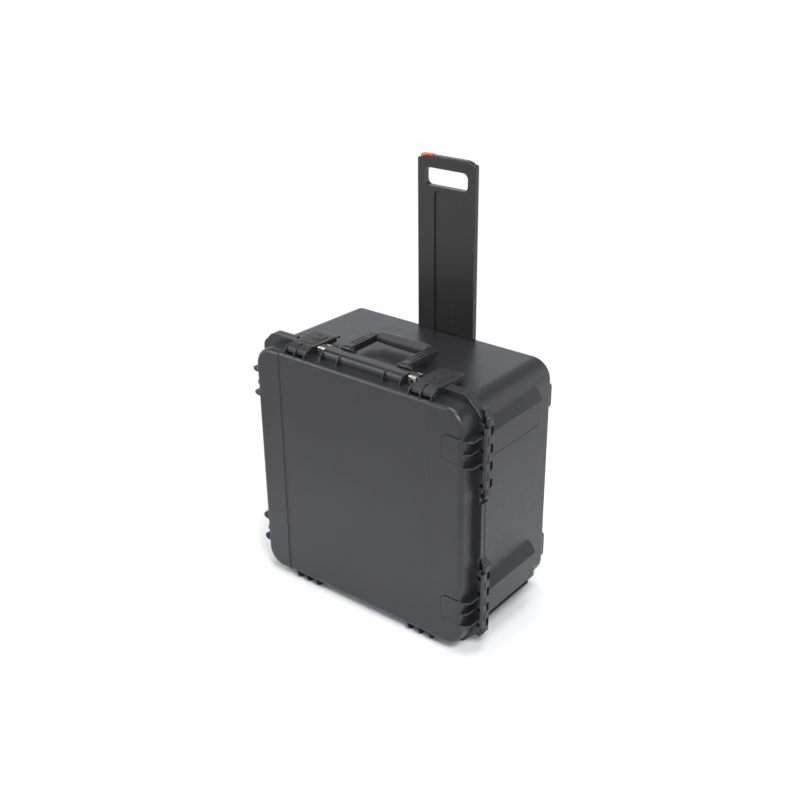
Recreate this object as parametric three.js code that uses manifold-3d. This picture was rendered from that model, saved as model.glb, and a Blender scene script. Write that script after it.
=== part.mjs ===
// A wheeled, hard plastic carrying case for a camera drone, as an assembly of separate pieces.
// Frame: millimetres, +Z up, +X to the right when facing the lid, -Y out of the lid.
// The floor is z = 0 and x = 0 is the middle. Everything is drawn with the parting plane of lid and
// base at y = 0, and the finished case is then moved so that the origin lies under its middle.

import * as THREE from 'three';
import { mergeVertices } from 'three/addons/utils/BufferGeometryUtils.js';
import Module from 'manifold-3d';

const wasm = await Module();
wasm.setup();

// ------------------------------------------------------------------ driving dimensions
const CENTRE_Z = 312; // height of the middle of the square case
const MIDDLE_Y = 118.5; // the middle of the whole depth lies this far behind the parting plane
const WALL = 5;
const GAP = 0.4; // running gap between pieces
const PLAY = 0.3; // radial play of a pin in its bore
const PART_GAP = 0.7; // half of the gap between the two flanges

const FLANGE_HALF = 309;
const FLANGE_DEPTH = 12.5;
const FLANGE_CHAMFER = { left: 28, right: 46 };
const FLANGE_BEND = 9; // the cut corners' edges are rounded over this length
const HINGE_FLAT = 303.6; // the flanges are cut back to this at the hinges
const INTO_FLANGE = 9; // ribs and ears run this close to the parting plane, inside the flange
const RIB_ROOT = 284; // ribs and ears start inside the walls
const EAR_ROOT = 286;
const CLEAR_OF_CASE = 330; // a cut that runs out to here leaves the case on any side

const LID_FRONT = 60; // distance of the lid's border face from the parting plane
const LID_PANEL = 57.6; // distance of the lid's sunken middle panel
const LID_PANEL_X = [-220.5, 211];
const LID_HALF = 292.5;
const LID_CORNER = 46;
const LID_FILLET = 12;

const BASE_REAR = 294.5;
const BASE_HALF = 289;
const BASE_REAR_HALF = 283.5;
const BASE_CORNER = 50;
const BASE_LEFT_CORNER = 25; // the base's two left corners are tighter
const BASE_FILLET = 14;

const HINGE_X = 311;
const HINGE_CENTRES = [132.5, 486.5];
const KNUCKLE = 20.4;
const KNUCKLE_REACH = 6.5;
const HINGE_PIN_R = 2.4;
const HINGE_PIN_OVER = 10.5; // the pin runs past the hinge's upper end by this
const HINGE_BLOCK_DEPTH = 16;
const HINGE_BLOCK = [HINGE_X - 20, HINGE_X - 0.5];
const HINGE_WINDOW = { half: 5, left: HINGE_X - 7.5, right: HINGE_X + 2, rear: -9 };
const HINGE_SLOT = { nose: 8, lid: -9, base: 13 }; // depths of the leaves' slots for the other knuckles
const HINGE_END = { high: 25, tip: 5, inner: 302 }; // the slanted blocks past a hinge's two ends

const RIB_CENTRE = 197.4; // centre of a rib set along a side, from the middle of that side
const BOTTOM_RIB_CENTRE = 171;
const RIB_PITCH = 30.3;
const RIB_THICK = 4;
const RIB_REACH = 311;
const MIDDLE_RIB_DROP = 6; // the middle rib of a set is lower by this

const TOP_LATCH = 175.8; // centre of a top latch, from the middle
const EAR_PITCH = 29.3;
const EAR_THICK = 3.2;
const TOP_PIVOT_Y = -40;
const SIDE_PIVOT_Y = -22;
const LATCH_PIVOT_R = 299; // distance of the latch pivot from the case's middle
const LATCH_HALF = 31.5;
const NOSE_HALF = 27.2; // half width of the latch between its outer ears
const LATCH_TOP = 311.4;
const LATCH_PLATE = 4;
const LATCH_SEAT = 306.8; // the lid's flange is cut down to this under a latch
const TAB_LOW = 298.2; // lower edge of a latch's rear finger tab
const TAB_PLAN = { start: 58, end: 79.5, half: 22.6 }; // the tab narrows towards its rear edge
const LATCH_SKIRT = { thick: 3, from: 18, to: 57, drop: 9 };
const LATCH_SWEEP = { low: 297.8, rear: 20.5, left: -42, right: 33 }; // the base is cut down here
const EAR_GAP = 2.5; // half width of the slot around a middle ear
const LATCH_PIN_R = 1.8;
const TRIGGER_HALF = 17;
const TRIGGER_PIVOT_Y = -8;

const LOOP_X = 127.5;
const LOOP = { lidHalf: 10, baseHalf: 6.5, thick: 2.5, leg: 15, hole: 4.2, holeR: 300, cap: 7 };
const HOOD_HALF = 113;
const HOOD_FINS = [-HOOD_HALF + 1.5, -64, 64, HOOD_HALF - 1.5];

const HANDLE_PIVOT_Y = 22.5;
const HANDLE_PIVOT_Z = 620.5;
const HANDLE_HUB = 8.5; // half of an arm's height
const HANDLE_ARM_X = 80;
const HANDLE_ARM_HALF = 11.5;
const HANDLE_REACH = 101; // grip centre behind the pivot
const HANDLE_PIN_R = 3;
const HANDLE_CORE_R = 6; // the bar inside the grip
const HANDLE_CORE_Y = HANDLE_PIVOT_Y + HANDLE_REACH - 2;
const HANDLE_CHEEK = 5; // thickness of the lugs' cheeks
const HANDLE_LUG_R = 6.5;
const GROOVE_OFFSET = 4.6; // the arm's two grooves, either side of its middle
const GRIP_R = 14;
const GRIP_SWELL = 1.5;
const GRIP_OVAL = { y: 1.1, z: 0.92 };

const PULL_HALF = 78.5;
const PULL_FRONT = 274.5;
const PULL_REAR = 290;
const PULL_BOTTOM = 468;
const PULL_TOP = 1008;
const PULL_SLOT = { half: 59, low: 940, high: 981, corner: 13 };
const PULL_PANEL = { half: 32, high: 931, depth: 3.5, corner: 12 };
const BUTTON = { low: -72, high: -40, bottom: 992, top: 1010.5, half: 5.2, travel: 5 };
const ROD_X = -67;
const CHANNEL_FLOOR = 58;
const CHANNEL_WALL = 5;
const COVER = { half: 92, front: 290.8, low: 46, high: 570 };
const COVER_SCREWS = [[-86, 52], [86, 52], [-86, 540], [86, 540]];

const WHEEL_X = 206;
const WHEEL_Y = 259;
const WHEEL_R = 32;
const WHEEL_HALF = 11;
const AXLE_R = 4;
const AXLE_HALF = 18;
const WELL = { half: 14, front: 224, top: 68, wall: 6 };

const PAD_FACE = 308; // outer face of the side pads, from the middle
const PAD_REAR = 222;
const PAD_END = 16; // a pad's flat face ends this far before its rear
const PAD_LEDGE = { below: 12, high: 4.4, face: 304 }; // a thin strip under the lower pad
const PADS = [{ low: 474, high: 534 }, { low: 76, high: 141 }];
const BUMPER = { inner: 232, outer: 281, front: 272, rear: 298.5, up: 2 };
const LID_BOSS = { inner: 240, outer: 300, below: 22.5, above: 35, high: 1.5, rear: 48 };

const VALVE = { y: 60, z: 312, r: 11, neck: 5 };
const SEAL = { inner: 291.6, outer: 296.9, front: -4.1, rear: 0.2, corner: 48 };

const FOAM_FRONT = 4;
const FOAM_REAR = 264;
const DRONE_POCKET = { z: [212, 432], x: [-120, 120], depth: 170, corner: 30 };
const REMOTE_POCKET = { z: [470, 560], x: [-210, 0], depth: 110, corner: 16 };
const CHARGER_POCKET = { z: [470, 560], x: [40, 210], depth: 70, corner: 16 };
const BATTERY_POCKET = { z: [70, 170], first: -200, width: 86, pitch: 106, depth: 90, corner: 10 };

const ROUND = 12; // facets of a small round piece

// ------------------------------------------------------------------ materials
function finish(colour, roughness, metalness) {
  return new THREE.MeshStandardMaterial({ color: colour, roughness, metalness });
}

const shellPlastic = finish(0x46464a, 0.55, 0);
const latchPlastic = finish(0x3a3a3d, 0.6, 0);
const handlePlastic = finish(0x303032, 0.5, 0);
const gripRubber = finish(0x2b2b2d, 0.8, 0);
const sealRubber = finish(0x151515, 0.9, 0);
const foam = finish(0x2a2b2d, 0.95, 0);
const steel = finish(0xb9b6b1, 0.35, 1);
const redPlastic = finish(0xd23a26, 0.5, 0);
const tyreRubber = finish(0x1b1b1c, 0.85, 0);

// ------------------------------------------------------------------ solids
/** A closed three.js geometry as a solid that can be joined and cut. */
function solid(geometry) {
  const bare = geometry.clone();
  bare.deleteAttribute('normal');
  bare.deleteAttribute('uv');
  const merged = mergeVertices(bare, 1e-4);
  return new wasm.Manifold(new wasm.Mesh({
    numProp: 3,
    vertProperties: new Float32Array(merged.attributes.position.array),
    triVerts: new Uint32Array(merged.index.array),
  }));
}

function geometryOf(body) {
  const mesh = body.getMesh();
  const geometry = new THREE.BufferGeometry();
  geometry.setAttribute('position', new THREE.BufferAttribute(mesh.vertProperties, 3));
  geometry.setIndex(new THREE.BufferAttribute(mesh.triVerts, 1));
  return geometry;
}

function box(x, y, z) {
  const geometry = new THREE.BoxGeometry(x[1] - x[0], y[1] - y[0], z[1] - z[0]);
  geometry.translate((x[0] + x[1]) / 2, (y[0] + y[1]) / 2, (z[0] + z[1]) / 2);
  return solid(geometry);
}

function turned(body, matrix) {
  return body.transform(matrix.elements);
}

/** Maps a shape's plane and its depth onto the axes, so that the depth runs along the named axis. */
const AXES = {
  x: new THREE.Matrix4().set(0, 0, 1, 0, 1, 0, 0, 0, 0, 1, 0, 0, 0, 0, 0, 1),
  y: new THREE.Matrix4().set(0, 1, 0, 0, 0, 0, 1, 0, 1, 0, 0, 0, 0, 0, 0, 1),
  z: new THREE.Matrix4(),
};

/** A shape pushed along an axis. Shapes are drawn in (y, z) for x, (z, x) for y and (x, y) for z. */
function push(shape, axis, from, to, curveSegments = 5) {
  const geometry = new THREE.ExtrudeGeometry(shape, { depth: to - from, bevelEnabled: false, curveSegments });
  geometry.translate(0, 0, from);
  return turned(solid(geometry), AXES[axis]);
}

function outline(points) {
  return new THREE.Shape(points.map(([u, v]) => new THREE.Vector2(u, v)));
}

/** A rectangle with rounded corners, from its two ranges. */
function roundedRectangle(u, v, radius) {
  const shape = new THREE.Shape();
  shape.moveTo(u[0] + radius, v[0]);
  shape.lineTo(u[1] - radius, v[0]);
  shape.absarc(u[1] - radius, v[0] + radius, radius, -Math.PI / 2, 0);
  shape.lineTo(u[1], v[1] - radius);
  shape.absarc(u[1] - radius, v[1] - radius, radius, 0, Math.PI / 2);
  shape.lineTo(u[0] + radius, v[1]);
  shape.absarc(u[0] + radius, v[1] - radius, radius, Math.PI / 2, Math.PI);
  shape.lineTo(u[0], v[0] + radius);
  shape.absarc(u[0] + radius, v[0] + radius, radius, Math.PI, Math.PI * 1.5);
  return shape;
}

/** A round bar along an axis; the centre gives the two other coordinates in axis order. */
function bar(axis, radius, from, to, centre, facets = ROUND) {
  const geometry = new THREE.CylinderGeometry(radius, radius, to - from, facets);
  geometry.translate(0, (from + to) / 2, 0);
  if (axis === 'x') {
    geometry.rotateZ(-Math.PI / 2);
    geometry.translate(0, centre[0], centre[1]);
  } else if (axis === 'y') {
    geometry.translate(centre[0], 0, centre[1]);
  } else {
    geometry.rotateX(Math.PI / 2);
    geometry.translate(centre[0], centre[1], 0);
  }
  return solid(geometry);
}

function join(bodies) {
  return bodies.reduce((whole, body) => whole.add(body));
}

function cut(body, tools) {
  return tools.length ? body.subtract(join(tools)) : body;
}

/** One square section with round corners around the case's middle; its left corners may differ. */
function squareRing({ half, corner, left = corner, y }, steps) {
  const points = [];
  for (let quarter = 0; quarter < 4; quarter += 1) {
    const sideX = quarter === 0 || quarter === 3 ? 1 : -1;
    const sideZ = quarter < 2 ? 1 : -1;
    for (let step = 0; step <= steps; step += 1) {
      const angle = (quarter + step / steps) * Math.PI / 2;
      const radius = sideX > 0 ? corner : left;
      const x = sideX * (half - radius) + radius * Math.cos(angle);
      const z = sideZ * (half - radius) + radius * Math.sin(angle);
      points.push(new THREE.Vector3(x, y, CENTRE_Z + z));
    }
  }
  return points;
}

/** A closed body through square sections given in order of rising y. */
function loft(sections, steps = 4) {
  const rings = sections.map((section) => squareRing(section, steps));
  const count = rings[0].length;
  const index = [];
  for (let ring = 0; ring + 1 < rings.length; ring += 1) {
    for (let i = 0; i < count; i += 1) {
      const next = (i + 1) % count;
      const a = ring * count + i;
      const b = ring * count + next;
      index.push(a, a + count, b + count, a, b + count, b);
    }
  }
  const last = (rings.length - 1) * count;
  for (let i = 1; i + 1 < count; i += 1) {
    index.push(0, i, i + 1, last, last + i + 1, last + i);
  }
  const geometry = new THREE.BufferGeometry();
  geometry.setFromPoints(rings.flat());
  geometry.setIndex(index);
  return solid(geometry);
}

/** Sections that round a body's end edge with a quarter circle, from the wall towards the end face. */
function filletSections({ half, corner, left = corner }, yStart, radius, direction, steps = 4) {
  const sections = [];
  for (let step = 0; step <= steps; step += 1) {
    const angle = step / steps * Math.PI / 2;
    const inset = radius * (1 - Math.cos(angle));
    sections.push({
      half: half - inset,
      corner: corner - inset,
      left: left - inset,
      y: yStart + direction * radius * Math.sin(angle),
    });
  }
  return sections;
}

// A side's features are drawn as if they were on the top side: x along the side, z outwards.
const SIDE_TURN = { top: 0, right: Math.PI / 2, bottom: Math.PI, left: -Math.PI / 2 };

/** Turns a body drawn around the origin for the top side to its own side of the case. */
function onSide(body, side) {
  const matrix = new THREE.Matrix4().makeTranslation(0, 0, CENTRE_Z);
  matrix.multiply(new THREE.Matrix4().makeRotationY(SIDE_TURN[side]));
  return turned(body, matrix);
}

// ------------------------------------------------------------------ flanges, ribs and ears
/** A square flange with cut corners, as a solid plate. */
function flangePlate(from, to) {
  const h = FLANGE_HALF;
  const r = h - FLANGE_CHAMFER.right;
  const l = h - FLANGE_CHAMFER.left;
  const corners = [[r, h], [h, r], [h, -r], [r, -h], [-l, -h], [-h, -l], [-h, l], [-l, h]];
  const points = corners.map(([x, z]) => new THREE.Vector2(CENTRE_Z + z, x));
  const shape = new THREE.Shape();
  points.forEach((point, i) => {
    const before = points[(i + points.length - 1) % points.length];
    const after = points[(i + 1) % points.length];
    const start = point.clone().add(before.clone().sub(point).setLength(FLANGE_BEND));
    const end = point.clone().add(after.clone().sub(point).setLength(FLANGE_BEND));
    if (i === 0) {
      shape.moveTo(start.x, start.y);
    } else {
      shape.lineTo(start.x, start.y);
    }
    shape.quadraticCurveTo(point.x, point.y, end.x, end.y);
  });
  return push(shape, 'y', from, to, 3);
}

/** A thin rib that swells out of the wall: drawn in (y, z) from the end edge to the flange. */
function ribShape(reach, sign, foot) {
  const shape = new THREE.Shape();
  if (foot) {
    shape.moveTo(sign * 57, RIB_ROOT);
    shape.quadraticCurveTo(sign * 55, reach, sign * 36, reach);
  } else {
    shape.moveTo(sign * (LID_FRONT - 0.5), RIB_ROOT - 8);
    shape.quadraticCurveTo(sign * LID_FRONT, reach - 8, sign * 47, reach - 1.5);
  }
  shape.lineTo(sign * INTO_FLANGE, reach);
  shape.lineTo(sign * INTO_FLANGE, EAR_ROOT);
  return shape;
}

/** The three ribs of a set: the outer two are larger. */
function ribSet(side, centre, sign, foot = false) {
  const ribs = [-1, 0, 1].map((place) => {
    const reach = foot ? CENTRE_Z : RIB_REACH - (place === 0 ? MIDDLE_RIB_DROP : 0);
    const x = centre + place * RIB_PITCH;
    return push(ribShape(reach, sign, foot), 'x', x - RIB_THICK / 2, x + RIB_THICK / 2, 5);
  });
  return onSide(join(ribs), side);
}

/** The outline of an ear of a top latch, in (y, z). */
function topEar() {
  const shape = new THREE.Shape();
  shape.moveTo(-55, EAR_ROOT);
  shape.quadraticCurveTo(-52, 308, -36, 309);
  shape.lineTo(-24, 309);
  shape.lineTo(-20, 305.4);
  shape.lineTo(-INTO_FLANGE, 305.4);
  shape.lineTo(-INTO_FLANGE, EAR_ROOT);
  return shape;
}

/** The outline of an ear of a side latch: a fin that swells out in front of the flange, in (y, z). */
function sideEar(middle) {
  const swell = middle ? 300 : 312.5;
  const shape = new THREE.Shape();
  shape.moveTo(-(LID_FRONT - 0.5), RIB_ROOT - 8);
  shape.quadraticCurveTo(-LID_FRONT, swell - 6, -46, swell);
  shape.lineTo(-31, swell);
  shape.lineTo(-26, 304.8);
  shape.lineTo(-INTO_FLANGE, 304.8);
  shape.lineTo(-INTO_FLANGE, EAR_ROOT);
  return shape;
}

/** The three ears that hold a latch pin, drawn for the top side. */
function latchEars({ side, centre }) {
  const top = side === 'top';
  const pitch = top ? EAR_PITCH : RIB_PITCH;
  const thick = top ? EAR_THICK : RIB_THICK;
  const ears = [-1, 0, 1].map((place) => {
    const x = centre + place * pitch;
    const shape = top ? topEar() : sideEar(place === 0);
    return push(shape, 'x', x - thick / 2, x + thick / 2, 4);
  });
  return join(ears);
}

function latchPinHole({ centre, pivot }) {
  return bar('x', LATCH_PIN_R + PLAY, centre - 40, centre + 40, [pivot, LATCH_PIVOT_R], 12);
}

// Every latch: which side it sits on, its centre along that side and the depth of its pivot.
const LATCHES = [
  { name: 'top_left', side: 'top', centre: -TOP_LATCH, pivot: TOP_PIVOT_Y },
  { name: 'top_right', side: 'top', centre: TOP_LATCH, pivot: TOP_PIVOT_Y },
  { name: 'side_upper', side: 'left', centre: RIB_CENTRE, pivot: SIDE_PIVOT_Y },
  { name: 'side_lower', side: 'left', centre: -RIB_CENTRE, pivot: SIDE_PIVOT_Y },
];

// ------------------------------------------------------------------ hinge
/** Offsets of the lid's and the base's knuckles from a hinge's centre; the base has the outermost. */
const LID_KNUCKLES = [-3, -1, 1, 3].map((step) => step * KNUCKLE);
const BASE_KNUCKLES = [-4, -2, 0, 2, 4].map((step) => step * KNUCKLE);
const HINGE_HALF = 4 * KNUCKLE;
const LID_ROW = 7 * KNUCKLE - GAP;

/** A knuckle: a square arm that is round about the pin, reaching to one side of the parting plane. */
function knuckle(z, height, sign) {
  const shape = new THREE.Shape();
  const reach = KNUCKLE_REACH;
  shape.moveTo(HINGE_X + reach, 0);
  shape.lineTo(HINGE_X + reach, sign * (HINGE_BLOCK_DEPTH - 4));
  shape.lineTo(HINGE_X + reach - 4, sign * HINGE_BLOCK_DEPTH);
  shape.lineTo(HINGE_X - 8, sign * HINGE_BLOCK_DEPTH);
  shape.lineTo(HINGE_X - 8, sign * PART_GAP);
  shape.lineTo(HINGE_X - reach, sign * PART_GAP);
  shape.absarc(HINGE_X, 0, reach, Math.PI, 0, sign < 0);
  return push(shape, 'z', z - height / 2, z + height / 2, 6);
}

/** One leaf of a hinge: a block and a row of knuckles, slotted to leave room for the other leaf's. */
function hingeLeaf(centre, other, sign) {
  const yRange = sign > 0 ? [PART_GAP, HINGE_BLOCK_DEPTH] : [-HINGE_BLOCK_DEPTH, -PART_GAP];
  const slotY = sign > 0 ? [-HINGE_SLOT.nose, HINGE_SLOT.base] : [HINGE_SLOT.lid, HINGE_SLOT.nose];
  const block = box(HINGE_BLOCK, yRange, [centre - HINGE_HALF, centre + HINGE_HALF]);
  const row = knuckle(centre, sign > 0 ? 2 * HINGE_HALF : LID_ROW, sign);
  const slots = other.map((offset) => box(
    [HINGE_X - 7.4, HINGE_X + 20],
    slotY,
    [centre + offset - KNUCKLE / 2 - GAP / 2, centre + offset + KNUCKLE / 2 + GAP / 2],
  ));
  return { body: cut(block.add(row), slots), slots };
}

/** The base's slanted block past one end of a hinge, round about the pin, which carries that end of it. */
function hingeEndBlock(centre, direction) {
  const start = centre + direction * (HINGE_HALF - 1);
  const far = start + direction * HINGE_END.high;
  const outer = HINGE_X + KNUCKLE_REACH;
  const shape = outline([
    [start, HINGE_BLOCK[0]],
    [far, HINGE_BLOCK[0]],
    [far, HINGE_END.inner],
    [start + direction * HINGE_END.tip, outer],
    [start, outer],
  ]);
  const root = box(HINGE_BLOCK, [PART_GAP, HINGE_BLOCK_DEPTH], [Math.min(start, far), Math.max(start, far)]);
  const whole = root.add(knuckle((start + far) / 2, HINGE_END.high, 1));
  return whole.intersect(push(shape, 'y', -HINGE_SLOT.nose, HINGE_BLOCK_DEPTH + 1));
}

function hingeBores() {
  return HINGE_CENTRES.map((centre) => bar(
    'z',
    HINGE_PIN_R + PLAY,
    centre - HINGE_HALF - 4,
    centre + HINGE_HALF + HINGE_PIN_OVER + 20,
    [HINGE_X, 0],
    12,
  ));
}

/** Cuts the flange back to the hinge's inner face, from its own side of the parting plane. */
function hingeFlats(sign) {
  return HINGE_CENTRES.map((centre) => box(
    [HINGE_FLAT, CLEAR_OF_CASE],
    sign > 0 ? [-1, FLANGE_DEPTH + 1] : [-FLANGE_DEPTH - 1, 1],
    [centre - HINGE_HALF - HINGE_END.high - 2, centre + HINGE_HALF + HINGE_END.high + 2],
  ));
}

// ------------------------------------------------------------------ lid
/** The raised boss on the lid's front beside a set of side ribs; it follows the lid's rounded edge. */
function lidBoss(centre) {
  const middle = CENTRE_Z + centre;
  const along = [middle - LID_BOSS.below, middle + LID_BOSS.above];
  const shape = roundedRectangle(along, [LID_BOSS.inner, LID_BOSS.outer], 12);
  const raised = lidOuter(LID_FRONT + LID_BOSS.high);
  return raised.intersect(push(shape, 'y', -LID_FRONT - 2 * LID_BOSS.high, -LID_BOSS.rear));
}

function lidOuter(front) {
  const wallEnd = -(front - LID_FILLET);
  return loft([
    ...filletSections({ half: LID_HALF - 0.8, corner: LID_CORNER }, wallEnd, LID_FILLET, -1).reverse(),
    { half: LID_HALF + 1, corner: LID_CORNER + 1, y: -PART_GAP },
  ], 6);
}

/** The half round bar between the padlock loops, with its thin ribs, drawn for the top side. */
function hoodBar() {
  const shape = new THREE.Shape();
  shape.moveTo(-PART_GAP, EAR_ROOT);
  shape.lineTo(-PART_GAP, 312);
  shape.lineTo(-2, 313.5);
  shape.lineTo(-16, 313.5);
  shape.absarc(-16, 300.5, 13, Math.PI / 2, Math.PI);
  shape.lineTo(-29, EAR_ROOT);
  const parts = [push(shape, 'x', -HOOD_HALF, HOOD_HALF, 6)];
  const fin = new THREE.Shape();
  fin.moveTo(-10, EAR_ROOT);
  fin.lineTo(-10, 312.5);
  fin.lineTo(-17, 314.5);
  fin.quadraticCurveTo(-33, 314, -37, 300);
  fin.quadraticCurveTo(-38, 294, -42, EAR_ROOT);
  for (const x of HOOD_FINS) {
    parts.push(push(fin, 'x', x - 1.5, x + 1.5, 4));
  }
  return join(parts);
}

/** Room in the lid for a latch: a shallow seat under its barrel and a lowered flange. */
function latchSeat({ centre, pivot }) {
  const half = NOSE_HALF + GAP;
  const barrel = box([centre - half, centre + half], [pivot - 11, -FLANGE_DEPTH - 1], [290, CLEAR_OF_CASE]);
  const wide = [centre - LATCH_HALF - 1, centre + LATCH_HALF + 1];
  return barrel.add(box(wide, [-FLANGE_DEPTH - 2, 1], [LATCH_SEAT, CLEAR_OF_CASE]));
}

function buildLidShell() {
  const border = lidOuter(LID_FRONT).subtract(
    box(LID_PANEL_X, [-LID_FRONT - 5, 5], [0, 2 * CENTRE_Z]),
  );
  const skin = join([lidOuter(LID_PANEL), border, lidBoss(RIB_CENTRE), lidBoss(-RIB_CENTRE)]);
  const inner = { half: LID_HALF - 0.8 - WALL, corner: LID_CORNER - WALL };
  const hollow = loft([
    ...filletSections(inner, -(LID_PANEL - LID_FILLET), 7, -1, 3).reverse(),
    { half: LID_HALF + 1 - WALL, corner: LID_CORNER + 1 - WALL, y: 2 },
  ]);
  const leaves = HINGE_CENTRES.map((centre) => hingeLeaf(centre, BASE_KNUCKLES, -1));
  const flange = cut(flangePlate(-FLANGE_DEPTH, -PART_GAP), hingeFlats(-1));
  const outer = join([
    skin,
    flange,
    ribSet('right', RIB_CENTRE - 1, -1),
    ribSet('right', -RIB_CENTRE + 1, -1),
    ribSet('bottom', BOTTOM_RIB_CENTRE, -1, true),
    ribSet('bottom', -BOTTOM_RIB_CENTRE, -1, true),
    onSide(hoodBar(), 'top'),
    ...leaves.map((leaf) => leaf.body),
  ]);
  const seats = LATCHES.map((latch) => onSide(latchSeat(latch), latch.side));
  const ears = LATCHES.map((latch) => onSide(latchEars(latch), latch.side));
  const windows = HINGE_CENTRES.flatMap((centre) => LID_KNUCKLES.map((offset) => box(
    [HINGE_WINDOW.left, HINGE_WINDOW.right],
    [-HINGE_BLOCK_DEPTH - 1, HINGE_WINDOW.rear],
    [centre + offset - HINGE_WINDOW.half, centre + offset + HINGE_WINDOW.half],
  )));
  const holes = [-LOOP_X, LOOP_X].map((x) => bar('y', LOOP.hole, -20, 5, [x, CENTRE_Z + LOOP.holeR]));
  return cut(join([cut(outer, seats), ...ears]), [
    hollow,
    gasketGroove(),
    ...LATCHES.map((latch) => onSide(latchPinHole(latch), latch.side)),
    ...leaves.flatMap((leaf) => leaf.slots),
    ...hingeBores(),
    ...windows,
    ...holes,
  ]);
}

// ------------------------------------------------------------------ seal
function gasketRing(inner, outer, from, to) {
  const ring = loft([
    { half: outer, corner: SEAL.corner, y: from },
    { half: outer, corner: SEAL.corner, y: to },
  ], 5);
  return ring.subtract(loft([
    { half: inner, corner: SEAL.corner - 4, y: from - 1 },
    { half: inner, corner: SEAL.corner - 4, y: to + 1 },
  ], 5));
}

function gasketGroove() {
  return gasketRing(SEAL.inner - 0.6, SEAL.outer + 0.6, SEAL.front - GAP, 1);
}

// ------------------------------------------------------------------ base
/** A pad behind a hinge: a flat face with a slope above it, ending round at the rear. */
function sidePad({ low, high }) {
  const rear = PAD_REAR;
  const rise = PAD_FACE - BASE_REAR_HALF + 6;
  const side = outline([
    [low, 270], [low + 3, PAD_FACE], [high, PAD_FACE], [high + rise, PAD_FACE - rise], [high + rise, 270],
  ]);
  const length = push(side, 'y', PART_GAP, rear);
  const plan = new THREE.Shape();
  plan.moveTo(260, 0);
  plan.lineTo(PAD_FACE + 1, 0);
  plan.lineTo(PAD_FACE + 1, rear - PAD_END);
  plan.quadraticCurveTo(PAD_FACE + 1, rear, PAD_FACE - 20, rear);
  plan.lineTo(260, rear);
  return length.intersect(push(plan, 'z', low - 1, high + rise + 1, 6));
}

/** A thin strip along the wall under the lower pad. */
function padLedge() {
  const low = PADS[1].low - PAD_LEDGE.below;
  const high = low + PAD_LEDGE.high;
  const side = outline([[low - 10, 270], [low, PAD_LEDGE.face], [high, PAD_LEDGE.face], [high, 270]]);
  const plan = outline([
    [260, 0], [PAD_FACE, 0], [PAD_FACE, PAD_REAR - 30], [PAD_FACE - 34, PAD_REAR], [260, PAD_REAR],
  ]);
  return push(side, 'y', PART_GAP, PAD_REAR).intersect(push(plan, 'z', low - 12, high + 1));
}

/** The same body on both sides of the middle plane. */
function bothSides(body) {
  return [body, body.mirror([1, 0, 0])];
}

function buildBaseShell() {
  const rearWall = BASE_REAR - BASE_FILLET;
  const rearSection = { half: BASE_REAR_HALF, corner: BASE_CORNER - 2, left: BASE_LEFT_CORNER };
  const skin = loft([
    { half: BASE_HALF, corner: BASE_CORNER, left: BASE_LEFT_CORNER, y: PART_GAP },
    ...filletSections(rearSection, rearWall, BASE_FILLET, 1),
  ], 6);
  const flange = cut(flangePlate(PART_GAP, FLANGE_DEPTH), hingeFlats(1));
  const leaves = HINGE_CENTRES.map((centre) => hingeLeaf(centre, LID_KNUCKLES, 1));
  const pads = PADS.map(sidePad);
  const bumpers = PADS.flatMap((pad) => {
    const along = [pad.low + BUMPER.up, pad.high + BUMPER.up];
    const shape = roundedRectangle(along, [BUMPER.inner, BUMPER.outer], 8);
    return bothSides(push(shape, 'y', BUMPER.front, BUMPER.rear));
  });
  const lugs = [-1, 1].flatMap((side) => [-1, 1].map((cheek) => handleLug(side, cheek)));
  const feet = [
    ribSet('bottom', BOTTOM_RIB_CENTRE, 1, true),
    ribSet('bottom', -BOTTOM_RIB_CENTRE, 1, true),
  ];
  const outer = join([
    skin,
    flange,
    ...pads,
    padLedge(),
    ...bumpers,
    ...lugs,
    ...feet,
    ...leaves.map((leaf) => leaf.body),
    ...HINGE_CENTRES.flatMap((centre) => [-1, 1].map((direction) => hingeEndBlock(centre, direction))),
  ]);
  const innerRear = {
    half: BASE_REAR_HALF - WALL,
    corner: BASE_CORNER - WALL - 2,
    left: BASE_LEFT_CORNER - WALL,
  };
  const hollow = loft([
    { half: BASE_HALF - WALL, corner: BASE_CORNER - WALL, left: BASE_LEFT_CORNER - WALL, y: -2 },
    ...filletSections(innerRear, BASE_REAR - WALL - 8, 8, 1, 3),
  ]);
  const channelWalls = box(
    [-PULL_HALF - CHANNEL_WALL, PULL_HALF + CHANNEL_WALL],
    [PULL_FRONT - CHANNEL_WALL - 1.5, CLEAR_OF_CASE],
    [0, 2 * CENTRE_Z],
  );
  const cavity = hollow.subtract(join([channelWalls, ...bothSides(wheelWell(WELL.wall))]));
  return cut(outer, [
    cavity,
    pullChannel(),
    ...bothSides(wheelWell(0)),
    ...bothSides(bar('x', AXLE_R + PLAY, WHEEL_X - AXLE_HALF, WHEEL_X + AXLE_HALF, [WHEEL_Y, WHEEL_R])),
    ...LATCHES.map(({ side, centre }) => onSide(latchSweep(centre), side)),
    ...bothSides(bar('x', HANDLE_PIN_R + PLAY, 40, 120, [HANDLE_PIVOT_Y, HANDLE_PIVOT_Z])),
    ...bothSides(bar('y', LOOP.hole, -5, 20, [LOOP_X, CENTRE_Z + LOOP.holeR])),
    ...leaves.flatMap((leaf) => leaf.slots),
    ...hingeBores(),
    ...COVER_SCREWS.map(([x, z]) => bar('y', 1.9, 270.5, BASE_REAR + 5, [x, z], 10)),
    valveHole(),
  ]);
}

/** The base is cut down under a latch, so that a closed latch passes over it as the lid swings. */
function latchSweep(centre) {
  const along = [centre + LATCH_SWEEP.left, centre + LATCH_SWEEP.right];
  return box(along, [-1, LATCH_SWEEP.rear], [LATCH_SWEEP.low, CLEAR_OF_CASE]);
}

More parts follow.
